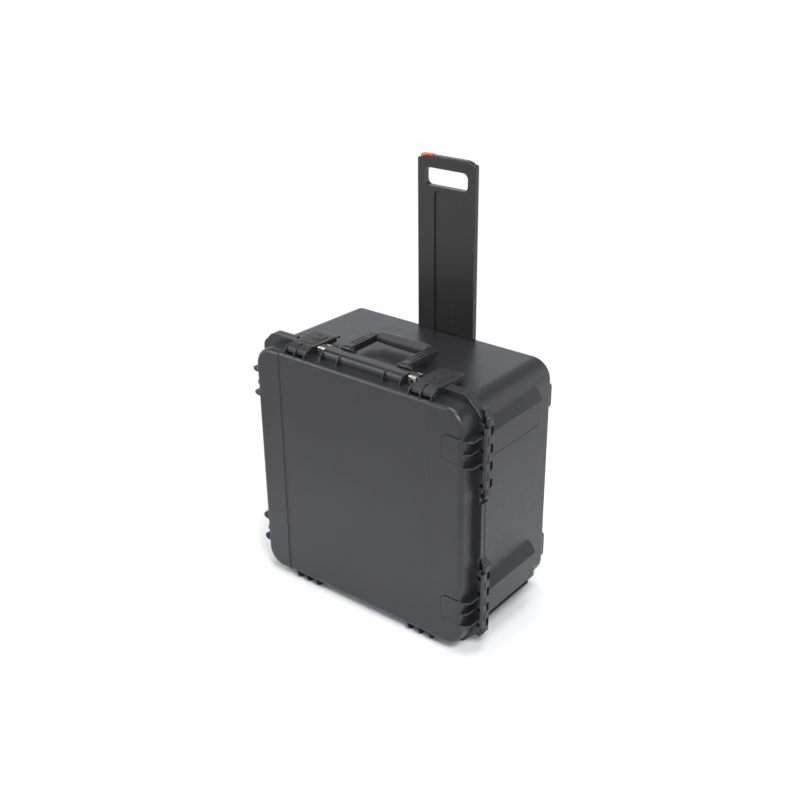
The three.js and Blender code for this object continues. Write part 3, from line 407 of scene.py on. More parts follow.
def combined(parts, cuts=(), within=()):
    """Joins the parts into one closed body, cuts others away and keeps what lies within the last ones."""
    whole = scratch(parts[0])
    tools = [(scratch(bm), "UNION") for bm in parts[1:]]
    tools += [(scratch(bm), "DIFFERENCE") for bm in cuts]
    tools += [(scratch(bm), "INTERSECT") for bm in within]
    for tool, operation in tools:
        modifier = whole.modifiers.new("combine", "BOOLEAN")
        modifier.solver = "MANIFOLD"
        modifier.operation = operation
        modifier.object = tool
    return settled(whole, *[tool for tool, _ in tools])


# ------------------------------------------------------------------ materials
def shader(name):
    material = bpy.data.materials.new(name)
    material.use_nodes = True
    nodes = material.node_tree.nodes
    return material, nodes, material.node_tree.links.new, nodes["Principled BSDF"]


def noise_node(nodes, link, coordinates, scale, detail=2.0, roughness=0.5):
    node = nodes.new("ShaderNodeTexNoise")
    node.inputs["Scale"].default_value = scale
    node.inputs["Detail"].default_value = detail
    node.inputs["Roughness"].default_value = roughness
    link(coordinates, node.inputs["Vector"])
    return node.outputs["Fac"]


def ranged(nodes, link, value, low, high, from_low=0.3, from_high=0.7):
    node = nodes.new("ShaderNodeMapRange")
    node.inputs["From Min"].default_value = from_low
    node.inputs["From Max"].default_value = from_high
    node.inputs["To Min"].default_value = low
    node.inputs["To Max"].default_value = high
    link(value, node.inputs["Value"])
    return node.outputs["Result"]


def mixed(nodes, link, factor, dark, light):
    node = nodes.new("ShaderNodeMix")
    node.data_type = "RGBA"
    link(factor, node.inputs["Factor"])
    for socket, colour in ((node.inputs["A"], dark), (node.inputs["B"], light)):
        if isinstance(colour, tuple):
            socket.default_value = (*colour, 1)
        else:
            link(colour, socket)
    return node.outputs["Result"]


def edge_normal(nodes, radius):
    node = nodes.new("ShaderNodeBevel")
    node.samples = 4
    node.inputs["Radius"].default_value = radius
    return node.outputs["Normal"]


def edge_mask(nodes, link, radius):
    """Where the surface turns within a radius: 1 on an edge and 0 on a flat face."""
    rounded = edge_normal(nodes, radius)
    geometry = nodes.new("ShaderNodeNewGeometry")
    dot = nodes.new("ShaderNodeVectorMath")
    dot.operation = "DOT_PRODUCT"
    link(rounded, dot.inputs[0])
    link(geometry.outputs["Normal"], dot.inputs[1])
    return ranged(nodes, link, dot.outputs["Value"], 1, 0, 0.86, 0.99)


def moulded(name, colour, roughness, grain=900.0, depth=0.00006, wear=0.35, edge=0.0012, sheen=0.0):
    """Moulded plastic or rubber: fine grain, slow cloudiness, rounded edges that are rubbed a bit lighter."""
    material, nodes, link, surface = shader(name)
    where = nodes.new("ShaderNodeTexCoord").outputs["Object"]
    cloud = noise_node(nodes, link, where, 7.0, 3.0)
    fine = noise_node(nodes, link, where, grain, 3.0, 0.6)
    scuffs = noise_node(nodes, link, where, 60.0, 6.0, 0.7)
    dark = tuple(c * 0.9 for c in colour)
    light = tuple(c * 1.12 for c in colour)
    body = mixed(nodes, link, ranged(nodes, link, cloud, 0, 1), dark, light)
    rubbed = tuple(min(1, c * 1.9 + 0.012) for c in colour)
    mask = nodes.new("ShaderNodeMath")
    mask.operation = "MULTIPLY"
    link(edge_mask(nodes, link, edge * 1.5), mask.inputs[0])
    link(ranged(nodes, link, scuffs, 0.25 * wear, wear), mask.inputs[1])
    link(mixed(nodes, link, mask.outputs["Value"], body, rubbed), surface.inputs["Base Color"])
    link(ranged(nodes, link, scuffs, roughness - 0.03, roughness + 0.05), surface.inputs["Roughness"])
    bump = nodes.new("ShaderNodeBump")
    bump.inputs["Strength"].default_value = 0.6
    bump.inputs["Distance"].default_value = depth
    link(fine, bump.inputs["Height"])
    link(edge_normal(nodes, edge), bump.inputs["Normal"])
    link(bump.outputs["Normal"], surface.inputs["Normal"])
    surface.inputs["Sheen Weight"].default_value = sheen
    return material


def metal(name, colour, tint, roughness):
    """Plated steel: brushed streaks and slow discolouring."""
    material, nodes, link, surface = shader(name)
    where = nodes.new("ShaderNodeTexCoord").outputs["Object"]
    stretch = nodes.new("ShaderNodeMapping")
    stretch.inputs["Scale"].default_value = (40, 900, 900)
    link(where, stretch.inputs["Vector"])
    streaks = noise_node(nodes, link, stretch.outputs["Vector"], 1.0, 4.0)
    cloud = noise_node(nodes, link, where, 90.0, 3.0)
    link(mixed(nodes, link, ranged(nodes, link, cloud, 0, 1), colour, tint), surface.inputs["Base Color"])
    link(ranged(nodes, link, streaks, roughness * 0.8, roughness * 1.4), surface.inputs["Roughness"])
    surface.inputs["Metallic"].default_value = 1
    bump = nodes.new("ShaderNodeBump")
    bump.inputs["Strength"].default_value = 0.25
    bump.inputs["Distance"].default_value = 0.00005
    link(streaks, bump.inputs["Height"])
    link(edge_normal(nodes, 0.0005), bump.inputs["Normal"])
    link(bump.outputs["Normal"], surface.inputs["Normal"])
    return material


def cellular(name, colour, cell):
    """Foam: small open cells with a soft, dusty look."""
    material, nodes, link, surface = shader(name)
    where = nodes.new("ShaderNodeTexCoord").outputs["Object"]
    cells = nodes.new("ShaderNodeTexVoronoi")
    cells.inputs["Scale"].default_value = 1 / cell
    link(where, cells.inputs["Vector"])
    cloud = noise_node(nodes, link, where, 25.0, 4.0)
    pore = ranged(nodes, link, cells.outputs["Distance"], 0, 1, 0.1, 0.6)
    body = mixed(nodes, link, pore, tuple(c * 0.45 for c in colour), colour)
    light = tuple(c * 1.35 for c in colour)
    link(mixed(nodes, link, ranged(nodes, link, cloud, 0, 0.5), body, light), surface.inputs["Base Color"])
    surface.inputs["Roughness"].default_value = 0.95
    surface.inputs["Sheen Weight"].default_value = 0.25
    surface.inputs["Specular IOR Level"].default_value = 0.15
    bump = nodes.new("ShaderNodeBump")
    bump.inputs["Strength"].default_value = 0.8
    bump.inputs["Distance"].default_value = cell * 0.4
    link(cells.outputs["Distance"], bump.inputs["Height"])
    link(bump.outputs["Normal"], surface.inputs["Normal"])
    return material


SHELL = moulded("shell_plastic", (0.0118, 0.0120, 0.0150), 0.36)
LATCH = moulded("latch_plastic", (0.010, 0.010, 0.0108), 0.46, depth=0.0001)
HANDLE = moulded("handle_plastic", (0.008, 0.008, 0.0084), 0.36, wear=0.25)
GRIP = moulded("grip_rubber", (0.014, 0.014, 0.0145), 0.55, grain=420.0, depth=0.00025, wear=0.1, sheen=0.1)
SEAL = moulded("seal_rubber", (0.010, 0.010, 0.010), 0.6, wear=0.1)
BUTTON = moulded("button_plastic", (0.72, 0.075, 0.025), 0.38, wear=0.15)
TYRE = moulded("tyre_rubber", (0.013, 0.013, 0.013), 0.7, grain=300.0, depth=0.0003, wear=0.6)
STEEL = metal("steel", (0.55, 0.54, 0.53), (0.42, 0.41, 0.40), 0.3)
PLATED = metal("plated_steel", (0.78, 0.62, 0.52), (0.62, 0.58, 0.55), 0.28)
BASE_FOAM = cellular("base_foam_cells", (0.020, 0.020, 0.022), 0.0016)
LID_FOAM = cellular("lid_foam_cells", (0.050, 0.051, 0.055), 0.0022)


# ------------------------------------------------------------------ pieces
def finish(mesh, angle=32):
    for polygon in mesh.polygons:
        polygon.use_smooth = True
    mesh.set_sharp_from_angle(angle=math.radians(angle))


def weigh_normals(obj):
    modifier = obj.modifiers.new("weighted", "WEIGHTED_NORMAL")
    modifier.keep_sharp = True
    modifier.weight = 80


def piece(name, bm, material, body, slot, *nodes):
    """A finished piece on a body, standing for CAD nodes where they are named."""
    mesh = bpy.data.meshes.new(name)
    bm.transform(Matrix.Scale(MM, 4) @ Matrix.Translation((0, -MIDDLE_Y, 0)))
    bm.to_mesh(mesh)
    bm.free()
    mesh.materials.clear()
    for item in material if isinstance(material, tuple) else (material,):
        mesh.materials.append(item)
    finish(mesh)
    obj = bpy.data.objects.new(name, mesh)
    bpy.context.scene.collection.objects.link(obj)
    weigh_normals(obj)
    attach(obj, body)
    if nodes:
        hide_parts(*nodes)
    return obj


def carried(node, material, radius=0.4):
    """A CAD node that keeps its shape, with a bevel and a material."""
    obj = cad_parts[node]
    obj.data.materials.clear()
    obj.data.materials.append(material)
    finish(obj.data)
    bevel = obj.modifiers.new("edges", "BEVEL")
    bevel.width = radius * MM
    bevel.segments = 2
    bevel.limit_method = "ANGLE"
    bevel.angle_limit = math.radians(40)
    weigh_normals(obj)


# ------------------------------------------------------------------ flanges, ribs and ears
def flange(low, high):
    h = FLANGE_HALF
    r, l = h - CHAMFER_RIGHT, h - CHAMFER_LEFT
    corners = [(r, h), (h, r), (h, -r), (r, -h), (-l, -h), (-h, -l), (-h, l), (-l, h)]
    corners = [Vector((CENTRE_Z + z, x)) for x, z in corners]
    shape = Outline(*corners[0])
    shape.points = []
    for i, corner in enumerate(corners):
        start = corner + (corners[i - 1] - corner).normalized() * FLANGE_BEND
        end = corner + (corners[(i + 1) % 8] - corner).normalized() * FLANGE_BEND
        shape.points.append(tuple(start))
        shape.curve(corner, end, 8)
    return push(shape, "y", low, high, 1.4, 3)


def rib(x, reach, sign, foot):
    if foot:
        shape = Outline(sign * 57, RIB_ROOT).curve((sign * 55, reach), (sign * 36, reach))
    else:
        shape = Outline(sign * (LID_FRONT - 0.5), RIB_ROOT - 8)
        shape.curve((sign * LID_FRONT, reach - 8), (sign * 47, reach - 1.5))
    shape.line((sign * INTO_FLANGE, reach), (sign * INTO_FLANGE, EAR_ROOT))
    return push(shape, "x", x - RIB_THICK / 2, x + RIB_THICK / 2, 1.2, 3)


def rib_set(side, centre, sign, foot=False):
    ribs = []
    for place in (-1, 0, 1):
        reach = CENTRE_Z if foot else RIB_REACH - (MIDDLE_RIB_DROP if place == 0 else 0)
        ribs.append(on_side(rib(centre + place * RIB_PITCH, reach, sign, foot), side))
    return ribs


def top_ear():
    shape = Outline(-55, EAR_ROOT).curve((-52, 308), (-36, 309))
    shape.line((-24, 309), (-20, 305.4), (-INTO_FLANGE, 305.4), (-INTO_FLANGE, EAR_ROOT))
    return shape


def side_ear(middle):
    swell = 300 if middle else 312.5
    shape = Outline(0.5 - LID_FRONT, RIB_ROOT - 8).curve((-LID_FRONT, swell - 6), (-46, swell))
    shape.line((-31, swell), (-26, 304.8), (-INTO_FLANGE, 304.8), (-INTO_FLANGE, EAR_ROOT))
    return shape


def latch_ears(side, centre):
    top = side == "top"
    pitch = EAR_PITCH if top else RIB_PITCH
    thick = EAR_THICK if top else RIB_THICK
    ears = []
    for place in (-1, 0, 1):
        x = centre + place * pitch
        shape = top_ear() if top else side_ear(place == 0)
        ears.append(on_side(push(shape, "x", x - thick / 2, x + thick / 2, 0.9, 3), side))
    return ears


def pin_hole(centre, pivot):
    return rod("x", LATCH_PIN_R + PLAY, centre - 40, centre + 40, (pivot, LATCH_PIVOT_R), steps=20)


def latch_seat(centre, pivot):
    half = NOSE_HALF + GAP
    return block((centre - half, centre + half), (pivot - 11, -FLANGE_DEPTH - 1), (290, CLEAR_OF_CASE))


def lowered_flange(centre):
    half = LATCH_HALF + 1
    return block((centre - half, centre + half), (-FLANGE_DEPTH - 2, 1), (LATCH_SEAT, CLEAR_OF_CASE))


# ------------------------------------------------------------------ hinges
def knuckle(z, height, sign):
    reach = KNUCKLE_REACH
    shape = Outline(HINGE_X + reach, 0)
    shape.line((HINGE_X + reach, sign * (HINGE_BLOCK_DEPTH - 4)), (HINGE_X + reach - 4, sign * HINGE_BLOCK_DEPTH))
    shape.line((HINGE_X - 8, sign * HINGE_BLOCK_DEPTH), (HINGE_X - 8, sign * PART_GAP))
    shape.line((HINGE_X - reach, sign * PART_GAP))
    shape.arc((HINGE_X, 0), reach, math.pi, math.pi * (1 + sign), 14)
    return push(shape, "z", z - height / 2, z + height / 2, 0.7, 2)


def hinge_slots(centre, sign):
    """Room in one leaf for the other leaf's knuckles."""
    y = (-HINGE_SLOT_NOSE, HINGE_SLOT_BASE) if sign > 0 else (HINGE_SLOT_LID, HINGE_SLOT_NOSE)
    other = LID_KNUCKLES if sign > 0 else BASE_KNUCKLES
    reach = KNUCKLE / 2 + GAP / 2
    return [
        block((HINGE_X - 7.4, HINGE_X + 20), y, (centre + offset - reach, centre + offset + reach))
        for offset in other
    ]


def hinge_leaf(centre, sign):
    """A block and a row of knuckles, slotted to leave room for the other leaf's."""
    y = (PART_GAP, HINGE_BLOCK_DEPTH) if sign > 0 else (-HINGE_BLOCK_DEPTH, -PART_GAP)
    bar = block((HINGE_X - 20, HINGE_X - 0.5), y, (centre - HINGE_HALF, centre + HINGE_HALF), 0.8)
    row = knuckle(centre, 2 * HINGE_HALF if sign > 0 else LID_ROW, sign)
    return [combined([row, bar], hinge_slots(centre, sign))]


def hinge_end_block(centre, direction):
    """The base's block past one end of a hinge, cut off at a slant, which carries that end of the pin."""
    start = centre + direction * (HINGE_HALF - 1)
    far = start + direction * HINGE_END_HIGH
    outer = HINGE_X + KNUCKLE_REACH
    middle = (start + far) / 2
    root = block((HINGE_X - 20, HINGE_X - 0.5), (PART_GAP, HINGE_BLOCK_DEPTH), sorted((start, far)), 0.8)
    slant = Outline(start, 280).line((far, 280), (far, HINGE_END_INNER))
    slant.line((start + direction * HINGE_END_TIP, outer), (start, outer))
    reach = (-HINGE_SLOT_NOSE, HINGE_BLOCK_DEPTH + 1)
    return combined([knuckle(middle, HINGE_END_HIGH, 1), root], within=[push(slant, "y", *reach)])


def hinge_bores():
    return [
        rod("z", HINGE_PIN_R + PLAY, c - HINGE_HALF - 4, c + HINGE_HALF + 30, (HINGE_X, 0), steps=20)
        for c in HINGE_CENTRES
    ]


def hinge_flats(sign):
    y = (-1, FLANGE_DEPTH + 1) if sign > 0 else (-FLANGE_DEPTH - 1, 1)
    reach = HINGE_HALF + HINGE_END_HIGH + 2
    return [block((HINGE_FLAT, CLEAR_OF_CASE), y, (c - reach, c + reach)) for c in HINGE_CENTRES]


# ------------------------------------------------------------------ lid
def lid_outer(front):
    rounded = fillet(LID_HALF - 0.8, LID_CORNER, -(front - LID_FILLET), LID_FILLET, -1)
    return loft(rounded[::-1] + [(LID_HALF + 1, LID_CORNER + 1, -PART_GAP)])


def lid_border():
    """The raised bands at the lid's left and right, which slope down to the panel between them."""
    y = LID_FRONT + 5
    left, right = LID_PANEL_X
    slope = Outline(left - 3.5, -y).line((right + 3.5, -y), (right - 0.6, -LID_PANEL), (right - 0.6, 5))
    slope.line((left + 0.6, 5), (left + 0.6, -LID_PANEL))
    return combined([lid_outer(LID_FRONT)], [push(slope, "z", 0, 2 * CENTRE_Z)])


def boss_outline(centre, margin):
    middle = CENTRE_Z + centre
    along = (middle - BOSS_BELOW - margin, middle + BOSS_ABOVE + margin)
    return rounded_rectangle(along, (BOSS_INNER - margin, BOSS_OUTER), BOSS_CORNER)


def lid_boss(centre):
    """A raised boss on the lid's front beside a set of side ribs; it follows the lid's rounded edge."""
    reach = push(boss_outline(centre, 0), "y", -LID_FRONT - 3, -BOSS_REAR)
    return combined([lid_outer(LID_FRONT + BOSS_HIGH)], within=[reach])


def boss_groove(centre):
    """A narrow groove in the lid's front around a boss."""
    y = (-LID_FRONT - 3, GROOVE_DEEP - LID_FRONT)
    return combined([push(boss_outline(centre, GROOVE_WIDE), "y", *y)], [push(boss_outline(centre, 0), "y", -70, -50)])


def hood_bar():
    shape = Outline(-PART_GAP, EAR_ROOT).line((-PART_GAP, 312), (-2, 313.5), (-16, 313.5))
    shape.arc((-16, 300.5), 13, QUARTER, 2 * QUARTER, 14).line((-29, EAR_ROOT))
    parts = [push(shape, "x", -HOOD_HALF, HOOD_HALF, 0.7)]
    for x in HOOD_FINS:
        fin = Outline(-10, EAR_ROOT).line((-10, 312.5), (-17, 314.5))
        fin.curve((-33, 314), (-37, 300)).curve((-38, 294), (-42, EAR_ROOT))
        parts.append(push(fin, "x", x - 1.5, x + 1.5, 0.9, 3))
    return [on_side(part, "top") for part in parts]


def loop_holes(low, high):
    return [
        rod("y", LOOP_HOLE, low, high, (x, CENTRE_Z + LOOP_HOLE_R), steps=24) for x in (-LOOP_X, LOOP_X)
    ]


def ring(inner, outer, low, high):
    whole = loft([(outer, 48, low), (outer, 48, high)])
    return combined([whole], [loft([(inner, 44, low - 1), (inner, 44, high + 1)])])


def make_lid():
    hollow_fillet = fillet(LID_HALF - 0.8 - WALL, LID_CORNER - WALL, -(LID_PANEL - LID_FILLET), 7, -1, 5)
    hollow = loft(hollow_fillet[::-1] + [(LID_HALF + 1 - WALL, LID_CORNER + 1 - WALL, 2)])
    plate = combined([flange(-FLANGE_DEPTH, -PART_GAP)], hinge_flats(-1))
    front = combined([lid_outer(LID_PANEL), lid_border()], [boss_groove(RIB_CENTRE), boss_groove(-RIB_CENTRE)])
    outer = [front, lid_boss(RIB_CENTRE), lid_boss(-RIB_CENTRE), plate]
    outer += rib_set("right", RIB_CENTRE - 1, -1) + rib_set("right", -RIB_CENTRE + 1, -1)
    outer += rib_set("bottom", BOTTOM_RIB_CENTRE, -1, True) + rib_set("bottom", -BOTTOM_RIB_CENTRE, -1, True)
    outer += hood_bar()
    for centre in HINGE_CENTRES:
        outer += hinge_leaf(centre, -1)
    seats = []
    ears = []
    holes = []
    for _, side, centre, pivot in LATCHES:
        seats += [on_side(latch_seat(centre, pivot), side), on_side(lowered_flange(centre), side)]
        ears += latch_ears(side, centre)
        holes.append(on_side(pin_hole(centre, pivot), side))
    windows = [
        block((HINGE_X - 7.5, HINGE_X + 2), (-HINGE_BLOCK_DEPTH - 1, -9), (c + offset - 5, c + offset + 5))
        for c in HINGE_CENTRES
        for offset in LID_KNUCKLES
    ]
    slots = [slot for c in HINGE_CENTRES for slot in hinge_slots(c, -1)]
    cuts = [hollow, ring(291, 297.5, -4.5, 1)] + holes + slots + hinge_bores() + windows + loop_holes(-20, 5)
    shell = combined([combined(outer, seats)] + ears, cuts)
    piece("lid_shell_moulding", shell, SHELL, "lid", "shell", "lid_shell")


# ------------------------------------------------------------------ base
def side_pad(low, high):
    """A flat pad behind a hinge, with a slope above it and a round rear end."""
    rise = PAD_FACE - BASE_REAR_HALF + 6
    side = Outline(low, 270).line((low + 3, PAD_FACE), (high, PAD_FACE), (high + rise, PAD_FACE - rise))
    side.line((high + rise, 270))
    plan = Outline(260, 0).line((PAD_FACE + 1, 0), (PAD_FACE + 1, PAD_REAR - PAD_END))
    plan.curve((PAD_FACE + 1, PAD_REAR), (PAD_FACE - 20, PAD_REAR), 14).line((260, PAD_REAR))
    groove = block(
        (PAD_FACE - GROOVE_DEEP, PAD_FACE + 3), (HINGE_BLOCK_DEPTH + 1, PAD_REAR - PAD_END), (low + 4, low + 5.4)
    )
    pad = combined([push(side, "y", PART_GAP, PAD_REAR)], [groove])
    return combined([pad], within=[push(plan, "z", low - 1, high + rise + 1)])


def pad_ledge():
    """A thin strip along the wall under the lower pad."""
    side = Outline(LEDGE_LOW - 10, 270).line((LEDGE_LOW, LEDGE_FACE), (LEDGE_HIGH, LEDGE_FACE), (LEDGE_HIGH, 270))
    plan = Outline(260, 0).line((PAD_FACE, 0), (PAD_FACE, PAD_REAR - 30), (PAD_FACE - 34, PAD_REAR), (260, PAD_REAR))
    strip = push(side, "y", PART_GAP, PAD_REAR, 0.8)
    return combined([strip], within=[push(plan, "z", LEDGE_LOW - 12, LEDGE_HIGH + 1)])


def rear_bumper(low, high):
    shape = rounded_rectangle((low + 2, high + 2), (232, 281), 8)
    return push(shape, "y", 272, BASE_REAR + 4, 1.5, 3)


def handle_lug(side, cheek):
    middle = side * HANDLE_ARM_X + cheek * (HANDLE_ARM_HALF + GAP + HANDLE_CHEEK / 2)
    shape = Outline(HANDLE_PIVOT_Y - HANDLE_LUG_R, 590)
    shape.arc((HANDLE_PIVOT_Y, HANDLE_PIVOT_Z), HANDLE_LUG_R, math.pi, 0, 16)
    shape.line((HANDLE_PIVOT_Y + 14, 597), (HANDLE_PIVOT_Y + 14, 590))
    return push(shape, "x", middle - HANDLE_CHEEK / 2, middle + HANDLE_CHEEK / 2, 0.9, 3)


def wheel_well(margin):
    return block(
        (WHEEL_X - WELL_HALF - margin, WHEEL_X + WELL_HALF + margin),
        (WELL_FRONT - margin, CLEAR_OF_CASE),
        (-5, WELL_TOP + margin),
    )


def pull_channel():
    half = PULL_HALF + GAP + PLAY
    seat = COVER_HALF + GAP
    return [
        block((-half, half), (PULL_FRONT - 0.6, CLEAR_OF_CASE), (CHANNEL_FLOOR, 700)),
        block((-seat, seat), (COVER_FRONT - GAP, CLEAR_OF_CASE), (COVER_LOW - GAP, 700)),
    ]


def latch_sweep(centre):
    """Room for a closed latch to pass over the base as the lid swings."""
    return block((centre - 42, centre + 33), (-1, SWEEP_REAR), (SWEEP_LOW, CLEAR_OF_CASE))


def make_base():
    rear = fillet(
        BASE_REAR_HALF, BASE_CORNER - 2, BASE_REAR - BASE_FILLET, BASE_FILLET, 1, left=BASE_LEFT_CORNER
    )
    skin = loft([(BASE_HALF, BASE_CORNER, PART_GAP, BASE_LEFT_CORNER)] + rear)
    outer = [skin, combined([flange(PART_GAP, FLANGE_DEPTH)], hinge_flats(1))]
    outer.append(pad_ledge())
    for low, high in PADS:
        outer.append(side_pad(low, high))
        outer += both_sides(lambda low=low, high=high: rear_bumper(low, high))
    outer += [handle_lug(side, cheek) for side in (-1, 1) for cheek in (-1, 1)]
    outer += rib_set("bottom", BOTTOM_RIB_CENTRE, 1, True) + rib_set("bottom", -BOTTOM_RIB_CENTRE, 1, True)
    for centre in HINGE_CENTRES:
        outer += hinge_leaf(centre, 1)
        outer += [hinge_end_block(centre, direction) for direction in (-1, 1)]
    inner_left = BASE_LEFT_CORNER - WALL
    inner_rear = fillet(
        BASE_REAR_HALF - WALL, BASE_CORNER - WALL - 2, BASE_REAR - WALL - 8, 8, 1, 5, left=inner_left
    )
    hollow = loft([(BASE_HALF - WALL, BASE_CORNER - WALL, -2, inner_left)] + inner_rear)
    channel_walls = block((-PULL_HALF - 5, PULL_HALF + 5), (268, CLEAR_OF_CASE), (0, 2 * CENTRE_Z))
    cavity = combined([hollow], [channel_walls] + both_sides(lambda: wheel_well(WELL_WALL)))
    cuts = [cavity] + pull_channel() + both_sides(lambda: wheel_well(0))
    cuts += both_sides(
        lambda: rod("x", AXLE_R + PLAY, WHEEL_X - AXLE_HALF, WHEEL_X + AXLE_HALF, (WHEEL_Y, WHEEL_R))
    )
    for _, side, centre, _ in LATCHES:
        cuts.append(on_side(latch_sweep(centre), side))
    cuts += both_sides(lambda: rod("x", HANDLE_PIN_R + PLAY, 40, 120, (HANDLE_PIVOT_Y, HANDLE_PIVOT_Z)))
    cuts += loop_holes(-5, 20) + hinge_bores()
    cuts += [slot for c in HINGE_CENTRES for slot in hinge_slots(c, 1)]
    cuts += [rod("y", 1.9, 270.5, BASE_REAR + 5, spot, steps=16) for spot in SCREWS]
    cuts.append(rod("x", 5.3, -300, -270, (VALVE_Y, VALVE_Z), steps=24))
    piece("base_shell_moulding", combined(outer, cuts), SHELL, "base", "shell", "base_shell")


# ------------------------------------------------------------------ pull handle
def make_pull_handle():
    shape = Outline(PULL_BOTTOM, -PULL_HALF).line((PULL_TOP - 12, -PULL_HALF))
    shape.curve((PULL_TOP - 8, -PULL_HALF), (PULL_TOP - 7, -PULL_HALF + 4), 6)
    shape.line((PULL_TOP - 7, -PULL_HALF + 7)).curve((PULL_TOP, -60), (PULL_TOP, -50))
    shape.line((PULL_TOP, 50)).curve((PULL_TOP, 60), (PULL_TOP - 7, PULL_HALF - 7))
    shape.line((PULL_TOP - 7, PULL_HALF - 4))
    shape.curve((PULL_TOP - 8, PULL_HALF), (PULL_TOP - 12, PULL_HALF), 6).line((PULL_BOTTOM, PULL_HALF))
    plate = push(shape, "y", PULL_FRONT, PULL_REAR, 2.0, 3)
    hand = push(rounded_rectangle((940, 981), (-59, 59), 13), "y", 260, 300)
    sunk = push(rounded_rectangle((PULL_BOTTOM + 20, 931), (-32, 32), 12), "y", 260, PULL_FRONT + 3.5)
    room = block(
        (BUTTON_LOW - GAP, BUTTON_HIGH + GAP),
        (PULL_MIDDLE - BUTTON_HALF - GAP, PULL_MIDDLE + BUTTON_HALF + GAP),
        (BUTTON_BOTTOM - BUTTON_TRAVEL - 1, BUTTON_TOP + 10),
    )
    rod_room = block((-70, -64), (PULL_MIDDLE - 3, PULL_MIDDLE + 3), (PULL_BOTTOM - 1, BUTTON_BOTTOM))
    plate = combined([plate], [hand, sunk, room, rod_room])
    piece("pull_handle_plate", plate, HANDLE, "pull_handle", "handle", "pull_handle")
    top = Outline(BUTTON_BOTTOM, BUTTON_LOW).line((BUTTON_TOP - 6, BUTTON_LOW))
    top.curve((BUTTON_TOP - 1, BUTTON_LOW + 1), (BUTTON_TOP - 1, BUTTON_LOW + 7))
    top.line((BUTTON_TOP, BUTTON_HIGH), (BUTTON_BOTTOM, BUTTON_HIGH))
    button = push(top, "y", PULL_MIDDLE - BUTTON_HALF, PULL_MIDDLE + BUTTON_HALF, 1.1, 3)
    piece("release_button_cap", button, BUTTON, "release", "button", "release_button")
    carried("release_rod", STEEL)


def make_channel_cover():
    shape = rounded_rectangle((COVER_LOW, COVER_HIGH), (-COVER_HALF, COVER_HALF), 4)
    plate = push(shape, "y", COVER_FRONT, BASE_REAR, 0.7)
    cuts = [rod("y", 2.2, 280, 300, spot, steps=20) for spot in SCREWS]
    for x in (-52, -26, 0, 26, 52):
        groove = rounded_rectangle((70, 520), (x - 3, x + 3), 2.9)
        cuts.append(push(groove, "y", BASE_REAR - 1.2, BASE_REAR + 5))
    piece("channel_cover_plate", combined([plate], cuts), SHELL, "base", "shell", "channel_cover")
    for i, spot in enumerate(SCREWS):
        head = turned("y", [
            (BASE_REAR + 0.2, 0), (BASE_REAR + 0.2, 3.6), (BASE_REAR + 0.9, 3.6), (BASE_REAR + 1.5, 3.1),
            (BASE_REAR + 1.8, 1.8), (BASE_REAR + 1.8, 0),
        ], spot)
        shank = rod("y", 1.6, 272, BASE_REAR + 0.5, spot, 0.4, 20)
        cross = []
        for long, wide in ((2, 0.35), (0.35, 2)):
            x, z = spot
            cross.append(block((x - long, x + long), (BASE_REAR + 0.9, BASE_REAR + 3), (z - wide, z + wide)))
        screw = combined([head, shank], cross)
        piece(f"cover_screw_{i + 1}_cross", screw, STEEL, "base", "steel", f"cover_screw_{i + 1}")


# ------------------------------------------------------------------ carry handle
def handle_arm(side):
    x, rear = side * HANDLE_ARM_X, HANDLE_PIVOT_Y + HANDLE_REACH
    low, top = HANDLE_PIVOT_Z - HANDLE_HUB, HANDLE_PIVOT_Z + HANDLE_HUB
    shape = Outline(HANDLE_PIVOT_Y, low).line((rear - 2, low)).curve((rear + 4, low), (rear + 4, low + 6), 6)
    shape.line((rear + 4, top - 6)).curve((rear + 4, top), (rear - 2, top), 6).line((HANDLE_PIVOT_Y, top))
    shape.arc((HANDLE_PIVOT_Y, HANDLE_PIVOT_Z), HANDLE_HUB, QUARTER, 3 * QUARTER, 16)
    arm = push(shape, "x", x - HANDLE_ARM_HALF, x + HANDLE_ARM_HALF, 1.6, 3)
    cuts = []
    for offset in (-GROOVE_OFFSET, GROOVE_OFFSET):
        line = rounded_rectangle((x + offset - 1.5, x + offset + 1.5), (HANDLE_PIVOT_Y + 14, rear - 38), 1.4)
        cuts.append(push(line, "z", top - 3, top + 5))
        for start in (rear - 32, rear - 20):
            dot = rounded_rectangle((x + offset - 2, x + offset + 2), (start, start + 6), 1.9)
            cuts.append(push(dot, "z", top - 5, top + 5))
    return combined([arm], cuts)


